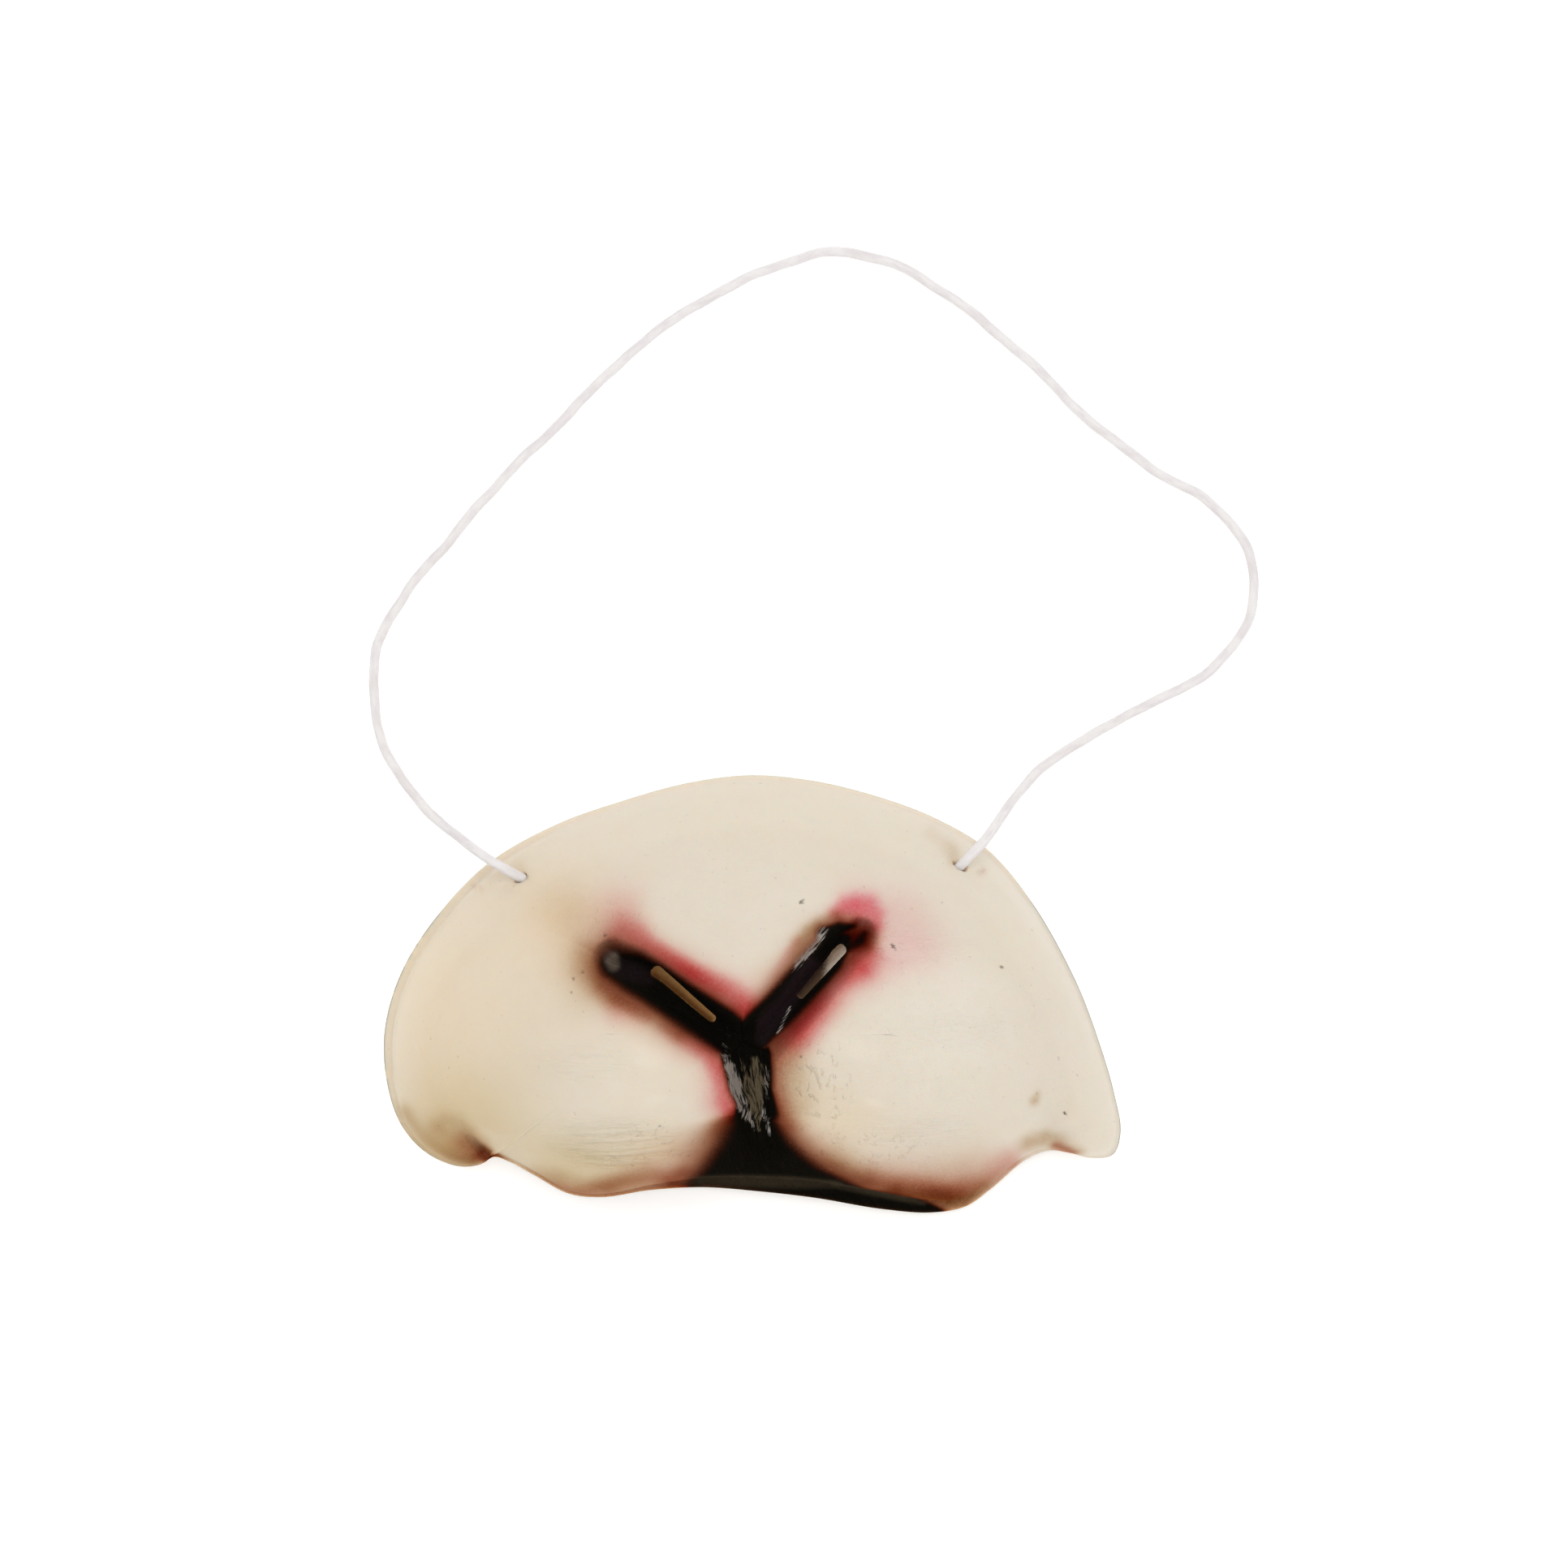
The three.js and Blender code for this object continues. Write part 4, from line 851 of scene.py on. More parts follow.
    ("notch_fold_shade", "brown", [(-39.6, -24.8, 0.49, 2.47), (-38.5, -24.3, 0.49, 2.22),
        (-37.6, -24.8, 0.43, 1.34), (-36.4, -25.5, 0.37, 0.69)]),
    # partly paint, partly painted shade in the small pocket of the right notch (this row and the next)
    ("notch_right", "tan", [(41.1, -21.4, 1.2, 0.55), (43.6, -21.1, 1.21, 0.57), (45.7, -21.7, 1.09, 0.4),
        (47.2, -22.5, 0.97, 0.22), (49, -23.4, 0.73, 0.46)]),
    ("notch_right_dark", "redbrown", [(45.6, -22.4, 0.61, 1.17), (47.1, -23.1, 0.61, 1.27),
        (48.2, -23.6, 0.49, 1.08)]),
    ("corner_tan", "tan", [(27.2, -32, 0.49, 0), (29.9, -31.7, 0.61, 0.18), (32.1, -31.4, 0.49, 0.64)]),
    # painted shade: darker tan in the dent that runs up-left from the right cord hole
    ("hole_right", "tan", [(26.6, 24.5, 0.97, 0.1), (28.3, 23.3, 0.97, 0.11), (29.7, 21.9, 0.97, 0.2),
        (30.1, 20.4, 0.72, 0.3)]),
    ("hole_right_mark", "redbrown", [(33.9, 18.6, 0.42, 0.18), (34.4, 18.7, 0.42, 0.2)]),
    # painted shade: darker tan in the dent beside the left cord hole
    ("hole_left", "tan", [(-36.6, 20.1, 0.85, 0), (-34.7, 19.2, 0.85, 0.15), (-33.3, 18, 0.72, 0.06)]),
    ("hole_left_marks", "redbrown", [(-42.7, 16.9, 0.24, 0), (-41.6, 16.3, 0.24, 0.17), (-40.4, 16.1, 0.24, 0.1)]),
    ("tip_shade", "redbrown", [(11.9, 12, 0.6, 0), (13.2, 12.3, 0.7, 0.5), (14.6, 12.7, 0.7, 0.28),
        (15.8, 12.8, 0.6, 0)]),
    ("pit_shade", "brown", [(15.6, 6.9, 0.6, 0.2), (14.6, 6.1, 0.65, 0.65), (13.2, 4.9, 0.6, 0.3),
        (11.6, 3.4, 0.5, 0)]),
    ("pit_red", "redbrown", [(13.6, 9.6, 1.2, 2.6), (15, 9.4, 1.4, 3.8), (16.4, 9.2, 1.2, 2.6)]),
    ("blotch_cheek", "tan", [(41.5, -14.6, 0.59, 0.43), (42, -13.6, 0.36, 0.25)]),
]
CREAM = (0.630, 0.570, 0.482)
# how much red, green and blue each pigment takes out of the light, for a full coat
PIGMENTS = {
    "tan": (0.60, 0.95, 1.42),
    "pink": (0.06, 1.00, 0.80),
    "red": (0.14, 1.00, 0.93),
    "redbrown": (0.46, 1.00, 1.22),
    "brown": (0.54, 1.00, 1.33),
}
SPRAY_REACH = 1.35           # an airbrush's faint outer mist, as a share of the strokes' radius

# Black paint of the grooves: name, rows of x, y, half width, softness left and right of the stroke.
INK = [
    ("nostril_left", [(-19.8, 5.75, 2.55, 1.42, 1.06), (-17.34, 4.6, 3.05, 1, 1.06),
        (-14.27, 3.04, 3.15, 0.82, 0.94), (-10.75, 0.75, 3.15, 0.82, 0.94), (-7.3, -1.35, 3.3, 0.82, 0.94),
        (-4.25, -3.25, 3.25, 0.7, 0.7), (-1.8, -5.2, 2.98, 0.59, 0.5)]),
    ("nostril_right", [(12.7, 8.5, 2.1, 0.6, 0.83), (11.17, 7.03, 2.88, 0.59, 0.83),
        (8.93, 4.67, 2.97, 0.59, 0.82), (6.45, 1.93, 2.97, 0.7, 0.82), (3.95, -0.76, 2.9, 0.7, 0.7),
        (1.38, -3.1, 2.72, 0.58, 0.5), (-0.5, -5.3, 2.65, 0.5, 0.5)]),
    ("right_tip", [(15, 11.1, 0.36, 0.5, 0.5), (12.8, 10.8, 1.05, 0.5, 0.6), (11.1, 9.7, 1.7, 0.55, 0.6)]),
    ("right_pit", [(14.6, 8, 0.5, 0.8, 0.8), (15.9, 8.9, 0.75, 0.8, 0.8), (16.5, 9.9, 0.45, 0.7, 0.7)]),
]
# Black paint down the middle and under the lip: rows of y, left edge, right edge, softness of each.
PHILTRUM = [
    (-5.9, -4.2, 2.6, 0.32, 0.32),
    (-7.1, -4.4, 2.95, 0.32, 0.32),
    (-9.4, -3.78, 3.12, 0.32, 0.32),
    (-12.1, -3.1, 3.12, 0.32, 0.35),
    (-14.4, -2.1, 3.75, 0.32, 0.4),
    (-15.8, -2.45, 4.1, 0.4, 0.5),
    (-17, -3.25, 4, 1.08, 0.94),
    (-18.7, -4.55, 5.35, 1.49, 1.28),
    (-20.5, -5.55, 6.85, 1.69, 1.49),
    (-22.4, -6.85, 8.7, 1.69, 1.55),
    (-24.3, -8.05, 11.05, 1.69, 1.55),
    (-26.2, -9.45, 14.25, 1.55, 1.42),
    (-28.7, -10.8, 18.3, 1, 0.9),
    (-31.4, -11.5, 22.9, 0.95, 0.74),
]
# Upper edge of the dark strip along the lip: rows of x, y, softness.
LIP = [
    (8.8, -24.95, 0.84),
    (13.2, -26.23, 0.84),
    (16.4, -27.74, 0.72),
    (19.8, -28.5, 0.6),
    (23.3, -29.4, 0.6),
    (27, -31.1, 0.48),
    (28.8, -32.1, 0.48),
    (30, -33.1, 0.48),
]
# Marks on the black: name, kind, rows of x, y, half width, strength. The grey-white gloss streaks, the olive-brown
# streaks down the philtrum and the soft grey spot at the left nostril's tip are painted reflections and highlights of
# the glossy black; the gloss rows also give the paint its coat. The purple rows tint the groove floors and the worn
# rows add a soft brown on the lip strip.
SHEEN = [
    # painted highlights: grey-white gloss streaks and glints on the black, which also mark where the coat goes
    ("philtrum_top", "gloss", [(-4.0, -5.9, 0.3, 0.40), (-3.5, -7.4, 0.45, 0.50), (-3.1, -8.6, 0.5, 0.55)]),
    ("philtrum_left", "gloss", [(-3.0, -9.2, 0.62, 0.68), (-2.6, -10.8, 0.76, 0.80), (-2.1, -12.6, 0.72, 0.72),
        (-1.5, -14.4, 0.62, 0.66), (-0.9, -15.9, 0.5, 0.60), (0.0, -17.3, 0.34, 0.50), (0.8, -18.4, 0.22, 0.40)]),
    # painted reflections: olive-brown streaks down the philtrum's glossy black (this row and the next two)
    ("philtrum_line", "olive_glint", [(-1.3, -8.0, 0.3, 0.40), (-0.9, -10.9, 0.4, 0.50), (-0.5, -13.3, 0.4, 0.55),
        (0.0, -16, 0.35, 0.50)]),
    ("philtrum_middle", "olive_glint", [(0.5, -8.1, 0.5, 0.50), (0.8, -10.3, 0.62, 0.66), (0.8, -12.7, 0.62, 0.66),
        (0.8, -14.7, 0.55, 0.64), (0.9, -17, 0.42, 0.60), (1, -18.6, 0.28, 0.45)]),
    ("philtrum_far", "olive_glint", [(1.7, -9.0, 0.35, 0.42), (1.6, -12.0, 0.35, 0.45), (1.7, -15.5, 0.3, 0.42)]),
    ("philtrum_right", "gloss", [(2.4, -9.0, 0.24, 0.45), (2.3, -11.2, 0.28, 0.52), (2.1, -13.2, 0.26, 0.45),
        (2.0, -15.0, 0.28, 0.48), (2.1, -16.8, 0.34, 0.58), (2.3, -18.0, 0.26, 0.48), (2.8, -19.6, 0.16, 0.36)]),
    ("right_wall", "gloss", [(10.6, 10.8, 0.45, 0.50), (9.5, 9.8, 0.68, 0.74), (8.4, 8.6, 0.74, 0.80),
        (7.3, 7.2, 0.74, 0.78), (6.4, 6.0, 0.6, 0.62), (5.7, 5.0, 0.36, 0.42)]),
    # painted highlight: a soft grey spot on the black at the left nostril's tip
    ("left_tip", "soft_glint", [(-21.3, 7.2, 0.5, 0.35), (-20.5, 6.5, 0.75, 0.75), (-20.0, 5.5, 0.6, 0.5)]),
    ("junction", "gloss", [(5.7, -0.5, 0.2, 0.40), (5.1, -1.7, 0.2, 0.38), (4.4, -3.2, 0.24, 0.48),
        (3.8, -4.2, 0.18, 0.36)]),
    ("junction_left", "gloss", [(-3.4, -3.6, 0.22, 0.34), (-2.6, -4.5, 0.24, 0.36)]),
    ("left_floor", "purple", [(-18.6, 4.9, 0.83, 0.3), (-16.9, 4.3, 0.94, 0.42), (-15, 3.5, 0.71, 0.3)]),
    ("right_floor", "purple", [(8.8, 5.5, 0.9, 0.5), (6.9, 3, 0.9, 0.55), (4.8, -0, 0.95, 0.6),
        (2.4, -2.8, 1.0, 0.6), (1.7, -4.9, 0.7, 0.4)]),
    ("lip_left", "worn", [(-9.6, -27.2, 0.8, 0.45), (-4.2, -27.4, 0.8, 0.60), (1.5, -27.5, 0.8, 0.62),
        (7.5, -27.6, 0.8, 0.60), (12.5, -27.6, 0.7, 0.50)]),
    ("lip_right", "worn", [(12.5, -27.9, 0.5, 0.50), (17.5, -28.9, 0.55, 0.75), (22.0, -29.8, 0.55, 0.85),
        (25.6, -30.6, 0.5, 0.60)]),
]
# Specks of paint and dirt: x, y, radius, strength.
SPECKS = [
    (7.3, 14.6, 0.35, 0.62), (7.6, 14.9, 0.24, 0.45), (20.7, 8.1, 0.28, 0.75), (20.4, 8.5, 0.21, 0.55),
    (21.0, 7.7, 0.21, 0.45), (21.7, 8.2, 0.19, 0.3), (19.7, 11.9, 0.17, 0.25), (20.2, 9.8, 0.19, 0.25),
    (30.5, 9.2, 0.21, 0.28), (30.9, 8.5, 0.19, 0.28), (32.0, 6.4, 0.21, 0.38), (36.8, 4.8, 0.29, 0.62),
    (36.4, 5.0, 0.21, 0.42), (37.4, 4.4, 0.19, 0.25), (41.8, 10.1, 0.22, 0.42), (45.1, 4.0, 0.21, 0.4),
    (45.2, -8.6, 0.26, 0.52), (48.2, -11.3, 0.22, 0.36), (40.1, 0.0, 0.24, 0.2), (39.9, -0.8, 0.24, 0.16),
    (41.8, -13.6, 0.24, 0.36), (43.4, -13.5, 0.19, 0.25), (44.4, -11.8, 0.21, 0.3), (44.7, -12.4, 0.19, 0.22),
    (46.2, -16.8, 0.29, 0.62), (46.6, -17.1, 0.22, 0.45), (49.2, -18.9, 0.24, 0.35), (54.5, -19.0, 0.20, 0.28),
    (45.0, -19.0, 0.18, 0.22), (-46.4, -19.0, 0.29, 0.35), (-22.5, 6.1, 0.26, 0.62), (-24.4, 4.5, 0.31, 0.45),
    (-25.7, 3.6, 0.28, 0.5), (-25.9, 1.7, 0.28, 0.42), (-24.1, -1.0, 0.26, 0.28), (-21.3, 9.7, 0.28, 0.62),
    (-26.7, 13.2, 0.21, 0.22), (-14.0, 10.7, 0.21, 0.25), (-14.1, 13.2, 0.28, 0.14), (-5.8, 9.7, 0.18, 0.2),
    (3.8, 7.9, 0.21, 0.25), (10.0, 12.6, 0.19, 0.45), (7.2, -7.2, 0.35, 0.35), (7.1, -3.1, 0.23, 0.22),
    (12.0, -20.1, 0.28, 0.34), (7.2, -10.5, 0.23, 0.22), (8.7, -11.7, 0.23, 0.15), (1.6, 13.7, 0.16, 0.1),
    (-13.1, -17.3, 0.28, 0.42), (-14.3, -18.9, 0.19, 0.25), (-8.3, -18.3, 0.26, 0.38), (-9.4, -22.9, 0.26, 0.4),
    (-6.6, -20.0, 0.21, 0.38), (-15.6, -24.1, 0.21, 0.35), (-22.1, -27.4, 0.29, 0.42), (-23.9, -26.8, 0.24, 0.25),
    (38.2, -11.0, 0.16, 0.18), (35.1, -3.7, 0.26, 0.12), (30.1, -3.4, 0.30, 0.1), (51.1, -0.1, 0.22, 0.28),
    (50.7, -3.2, 0.29, 0.25), (37.5, 12.0, 0.17, 0.12), (35.5, 16.8, 0.22, 0.15), (-35.3, 16.7, 0.27, 0.4),
    (-33.4, 18.0, 0.31, 0.55),
]
# Where fine level scratches show: x, y, reach along x and y, strength.
SCRATCHED = [
    (-19.0, -20.5, 11.0, 4.6, 1.0),
    (-24.0, -8.0, 8.0, 3.0, 0.35),
    (30.0, -3.5, 9.0, 3.0, 0.35),
    (24.0, -18.5, 10.0, 3.0, 0.45),
    (24.0, 8.0, 9.0, 3.0, 0.35),
]
# Where the skin is dented with small ticks: x, y, reach along x and y, strength.
TICKED = [
    (9.5, -12.0, 5.0, 8.0, 1.0),
    (16.0, -21.5, 12.0, 4.5, 0.75),
    (-14.0, -21.5, 9.0, 5.0, 0.75),
    (-20.5, 12.0, 7.0, 4.5, 0.35),
    (20.0, 9.0, 4.5, 6.0, 0.6),
    (30.0, -3.0, 22.0, 12.0, 0.22),
]
# Broad shifts of the cream: name, x, y, reach along x and y, red, green and blue shares. Partly its own tint (left_all
# yellower, beside_nostril warmer) and partly painted light and shade: puff_right, puff_left and side_left are painted
# lighter where light falls, and the darker yellow-brown shifts low on the left, on the lobe and under the pads are
# partly yellowed latex, partly painted shade.
TONES_LIGHT_SHADE = [
    ("puff_right", 27.9, -6.9, 10.5, 10.0, 1.03, 1.05, 1.07),
    ("puff_left", -19.0, -10.8, 10.0, 8.0, 1.035, 1.05, 1.06),
    ("left_all", -40.0, 8.0, 24.0, 20.0, 0.99, 0.95, 0.895),
    ("side_left", -47.0, -4.0, 12.0, 14.0, 1.05, 1.01, 0.945),
    ("low_left", -43.0, -16.5, 13.0, 7.5, 0.89, 0.82, 0.66),
    ("lobe_left", -46.5, -22.5, 8.5, 4.5, 0.72, 0.60, 0.40),
    ("puff_left_low", -25.5, -23.5, 11.0, 5.0, 0.86, 0.78, 0.60),
    ("puff_left_lowR", -12.0, -21.5, 7.0, 4.0, 1.0, 0.93, 0.84),
    ("puff_right_low", 11.5, -17.5, 8.5, 5.5, 1.00, 0.94, 0.84),
    ("puff_right_under", 26.0, -21.5, 12.0, 4.5, 0.96, 0.93, 0.90),
    ("cheek_right", 43.5, -6.0, 9.0, 15.0, 0.97, 0.955, 0.955),
    ("beside_nostril", -27.8, 12.2, 6.5, 6.5, 1.03, 0.97, 0.90),
]


def paint_attributes(me):
    co = np.zeros(len(me.vertices) * 3)
    me.vertices.foreach_get("co", co)
    co = co.reshape(-1, 3) * 1000 + ORIGIN
    x, y, z = co.T

    def put(name, values):
        a = me.attributes.new(name, "FLOAT", "POINT")
        a.data.foreach_set("value", np.asarray(values, np.float32))

    density = np.zeros((len(x), 3))
    for _, pigment, rows in STROKES:
        d, c, _, _ = nearest(rows, x, y)
        coat = c[:, 1] * np.exp(-((d / (c[:, 0] * SPRAY_REACH)) ** 2))
        density += coat[:, None] * np.array(PIGMENTS[pigment])
    a = me.attributes.new("spray", "FLOAT_VECTOR", "POINT")
    a.data.foreach_set("vector", density.astype(np.float32).ravel())

    # how far outside the black each place is, in shares of the paint's softness there
    shares = []
    for _, rows in INK:
        d, c, side, _ = nearest(rows, x, y)
        soft = np.where(side > 0, c[:, 1], c[:, 2])
        shares.append((d - c[:, 0]) / soft)
    rows = np.array(PHILTRUM)[::-1]
    left, right, soft_l, soft_r = (np.interp(y, rows[:, 0], rows[:, k]) for k in (1, 2, 3, 4))
    lean = np.interp(y, [-30, -17.5, -16.0, -6], [0.62, 0.72, 0.97, 0.97])
    band = np.maximum((left - x) * lean / soft_l, (x - right) * lean / soft_r)
    shares.append(np.maximum(band, (y - rows[-1, 0]) / 0.6))
    rows = np.array(LIP)
    under_lip = (y - np.interp(x, rows[:, 0], rows[:, 1])) / np.interp(x, rows[:, 0], rows[:, 2])
    shares.append(np.maximum(under_lip, np.maximum((4.0 - x) / 1.0, (x - 29.6) / 0.8)))
    share = shares[0]
    for other in shares[1:]:
        k = 0.35
        h = np.clip(0.5 + 0.5 * (share - other) / k, 0, 1)
        share = share * (1 - h) + other * h - k * h * (1 - h)
    put("ink", np.clip(share, -8, 8))

    # the gloss streaks, the olive-brown streaks and the soft grey spot are painted highlights and reflections on the
    # black; purple and worn tint the paint
    for kind in ("gloss", "olive_glint", "purple", "worn", "soft_glint"):
        clear = np.ones(len(x))
        for _, what, rows in SHEEN:
            if what == kind:
                d, c, _, _ = nearest(rows, x, y)
                clear *= 1 - c[:, 1] * np.exp(-((d / (c[:, 0] * 1.5)) ** 4))
        put("sheen_" + kind, 1 - clear)

    speck = np.zeros(len(x))
    for sx, sy, r, strength in SPECKS:
        speck = np.maximum(speck, strength * np.exp(-(((x - sx) ** 2 + (y - sy) ** 2) / r**2)))
    put("speck", speck)

    worn = np.zeros(len(x))
    for cx, cy, rx, ry, strength in SCRATCHED:
        worn = np.maximum(worn, strength * np.exp(-(((x - cx) / rx) ** 2 + ((y - cy) / ry) ** 2) ** 2))
    put("scratched", worn)

    ticks = np.zeros(len(x))
    for cx, cy, rx, ry, strength in TICKED:
        ticks = np.maximum(ticks, strength * np.exp(-(((x - cx) / rx) ** 2 + ((y - cy) / ry) ** 2) ** 2))
    put("ticked", ticks)

    # broad shifts of the cream, partly its own tint and partly painted light on the pads and painted shade low down and
    # under them
    tone_light_shade = np.ones((len(x), 3))
    for _, cx, cy, rx, ry, *share in TONES_LIGHT_SHADE:
        w = np.exp(-(((x - cx) / rx) ** 2 + ((y - cy) / ry) ** 2))[:, None]
        tone_light_shade *= 1 + w * (np.array(share) - 1)
    a = me.attributes.new("tone_light_shade", "FLOAT_VECTOR", "POINT")
    a.data.foreach_set("vector", tone_light_shade.astype(np.float32).ravel())

    # across and along each groove, for the brush marks
    stroke = np.zeros((len(x), 3), np.float32)
    best = np.full(len(x), 1e9)
    middle = [((a + b) / 2, y0) for y0, a, b, _, _ in PHILTRUM]
    lines = [[(r[0], r[1]) for r in INK[0][1]], [(r[0], r[1]) for r in INK[1][1]], middle]
    for k, rows in enumerate(lines):
        d, _, side, run = nearest([(*r, 0.0) for r in rows], x, y)
        hit = d < best
        best = np.where(hit, d, best)
        stroke[:, 0] = np.where(hit, side, stroke[:, 0])
        stroke[:, 1] = np.where(hit, run, stroke[:, 1])
        stroke[:, 2] = np.where(hit, 17.0 * k, stroke[:, 2])
    a = me.attributes.new("stroke", "FLOAT_VECTOR", "POINT")
    a.data.foreach_set("vector", stroke.ravel())


# Mist round the black paint: density at its edge, how fast it falls off, red, green and blue shares.
MISTS = [
    ("black", 0.48, 1.0, (1.00, 1.10, 1.20)),
    ("brown", 1.6, 0.8, (0.48, 1.00, 1.25)),
]


def latex_material():
    m = Tree("latex_painted")
    p = m.mm()
    big = m.noise(p, 0.05, 2.0, 0.5)
    mid = m.noise(p, 0.22, 3.0, 0.55)
    fine = m.noise(p, 2.2, 4.0, 0.6)
    grain = m.noise(p, 7.0, 2.0, 0.5)
    cream = m.mix(m.ramp(big, 0.36, 0.64), CREAM, tuple(c * k for c, k in zip(CREAM, (0.992, 0.984, 0.955))))
    cream = m.mix(m.ramp(mid, 0.40, 0.70, 0.0, 0.5), cream, tuple(c * k for c, k in zip(CREAM, (0.975, 0.962, 0.935))))
    # broad shifts of the cream, partly its own tint, partly painted light on the pads and painted shade low down
    cream = m.mix(1.0, cream, m.attr("tone_light_shade", "Color"), "MULTIPLY")
    # airbrushed pigments and the black paint's own brown mist, as optical densities
    ragged = m.math("MULTIPLY", m.math("SUBTRACT", m.blend(0.55, fine, grain), 0.5), 1.7)
    edge = m.math("ADD", m.attr("ink"), ragged)
    spray = m.attr("spray", "Vector")
    near = m.math("MAXIMUM", edge, -1.5)
    for _, full, fall, share in MISTS:
        mist = m.math("MULTIPLY", m.math("EXPONENT", m.math("MULTIPLY", near, -fall)), full)
        mist = m.add("ShaderNodeVectorMath", ins={0: share, "Scale": mist}, operation="SCALE")
        spray = m.add("ShaderNodeVectorMath", ins=(spray, mist), operation="ADD")
    uneven = m.math("ADD", 1.0, m.math("MULTIPLY", m.math("SUBTRACT", m.blend(0.6, grain, fine), 0.5), 1.1))
    spray = m.add("ShaderNodeVectorMath", ins={0: spray, "Scale": uneven}, operation="SCALE")
    split = m.nodes.new("ShaderNodeSeparateXYZ")
    m.set(split.inputs[0], spray)
    through = [m.math("EXPONENT", m.math("MULTIPLY", split.outputs[k], -1.0)) for k in range(3)]
    col = m.mix(1.0, cream, m.add("ShaderNodeCombineXYZ", ins=through), "MULTIPLY")
    dark = m.ramp(edge, 0.5, -1.3)
    stroke = m.attr("stroke", "Vector")
    brush = m.noise(m.stretch(stroke, (1.7, 0.28, 1.0)), 1.0, 4.0, 0.68, distortion=0.6)
    hair = m.noise(m.stretch(stroke, (5.0, 0.50, 1.0)), 1.0, 3.0, 0.6, distortion=0.4)
    ink = m.mix(m.ramp(brush, 0.45, 0.8, 0.0, 0.4), (0.0040, 0.0036, 0.0026), (0.012, 0.008, 0.005))
    ink = m.mix(m.attr("sheen_purple"), ink, (0.022, 0.013, 0.016))
    ink = m.mix(m.attr("sheen_worn"), ink, (0.040, 0.030, 0.018))
    # painted highlight: a soft grey spot on the black at the left nostril's tip
    ink = m.mix(m.math("MULTIPLY", m.attr("sheen_soft_glint"), m.ramp(brush, 0.25, 0.65, 0.45, 1.0)), ink, (0.200, 0.150, 0.115))
    # painted reflection: olive-brown streaks on the glossy black of the philtrum
    patchy = m.math("ADD", m.math("MULTIPLY", m.math("SUBTRACT", brush, 0.5), 2.0),
                    m.math("MULTIPLY", m.math("SUBTRACT", hair, 0.5), 1.8))
    olive_glint_mask = m.ramp(m.math("ADD", m.attr("sheen_olive_glint"), patchy), 0.24, 0.76)
    olive_glint_mask = m.math("MULTIPLY", olive_glint_mask, m.ramp(m.attr("sheen_olive_glint"), 0.02, 0.20))
    ink = m.mix(m.math("MULTIPLY", olive_glint_mask, 0.85), ink, (0.135, 0.104, 0.062))
    # painted highlight: grey-white streaks on the black; the same mask also sets the real coat below
    shine = m.ramp(m.math("ADD", m.attr("sheen_gloss"), patchy), 0.34, 0.80)
    shine = m.math("MULTIPLY", shine, m.ramp(m.attr("sheen_gloss"), 0.02, 0.20))
    ink = m.mix(m.math("MULTIPLY", shine, 0.85), ink, (0.330, 0.285, 0.245))
    col = m.mix(dark, col, ink)
    speck = m.ramp(m.math("ADD", m.attr("speck"), m.math("MULTIPLY", m.math("SUBTRACT", grain, 0.5), 0.35)), 0.10, 0.55, 0.0, 0.9)
    speck = m.math("MULTIPLY", speck, m.ramp(m.attr("speck"), 0.02, 0.12))
    col = m.mix(speck, col, (0.075, 0.052, 0.032))
    dust = m.ramp(m.noise(p, 1.25, 2.0, 0.4), 0.71, 0.80, 0.0, 0.30)
    dust = m.math("MULTIPLY", dust, m.math("SUBTRACT", 1.0, dark))
    col = m.mix(dust, col, (0.30, 0.22, 0.15))
    m.set(m.shader.inputs["Base Color"], col)
    rough = m.ramp(fine, 0.25, 0.75, 0.46, 0.60, smooth=False)
    gloss = m.ramp(brush, 0.3, 0.75, 0.30, 0.50, smooth=False)
    m.set(m.shader.inputs["Roughness"], m.blend(dark, rough, gloss))
    m.shader.inputs["Specular IOR Level"].default_value = 0.0
    m.set(m.shader.inputs["Coat Weight"], m.blend(dark, m.math("MULTIPLY", through[1], 0.20), m.math("MULTIPLY", shine, 0.55)))
    m.shader.inputs["Coat Roughness"].default_value = 0.20
    m.shader.inputs["Subsurface Weight"].default_value = 0.55
    m.shader.inputs["Subsurface Radius"].default_value = (1.0, 0.60, 0.36)
    m.shader.inputs["Subsurface Scale"].default_value = 0.0018
    # casting and brush relief
    scratch = m.noise(m.stretch(p, (0.16, 2.6, 0.5), 0.06), 1.0, 3.0, 0.6, distortion=0.3)
    sprayed = m.math("MULTIPLY", m.math("SUBTRACT", 1.0, through[1]), 1.5, clamp=True)
    lumps = m.bump(mid, 0.00040, 0.6)
    pores = m.bump(m.math("MULTIPLY", m.blend(0.5, fine, grain), m.math("ADD", 0.7, sprayed)), 0.00014, 0.8, lumps)
    pores = m.bump(m.math("MULTIPLY", scratch, m.attr("scratched")), 0.00075, 0.9, pores)
    tick = m.ramp(m.noise(m.stretch(p, (1.1, 0.62, 0.8), 0.5), 1.0, 2.0, 0.5, distortion=0.8), 0.58, 0.72)
    pores = m.bump(m.math("MULTIPLY", m.math("MULTIPLY", tick, m.attr("ticked")), m.math("SUBTRACT", 1.0, dark)), 0.00022, 0.9, pores)
    wet = m.bump(m.math("MULTIPLY", m.math("ADD", brush, m.math("MULTIPLY", hair, 0.5)), dark), 0.00040, 0.9, pores)
    m.set(m.shader.inputs["Normal"], wet)
    return m.material


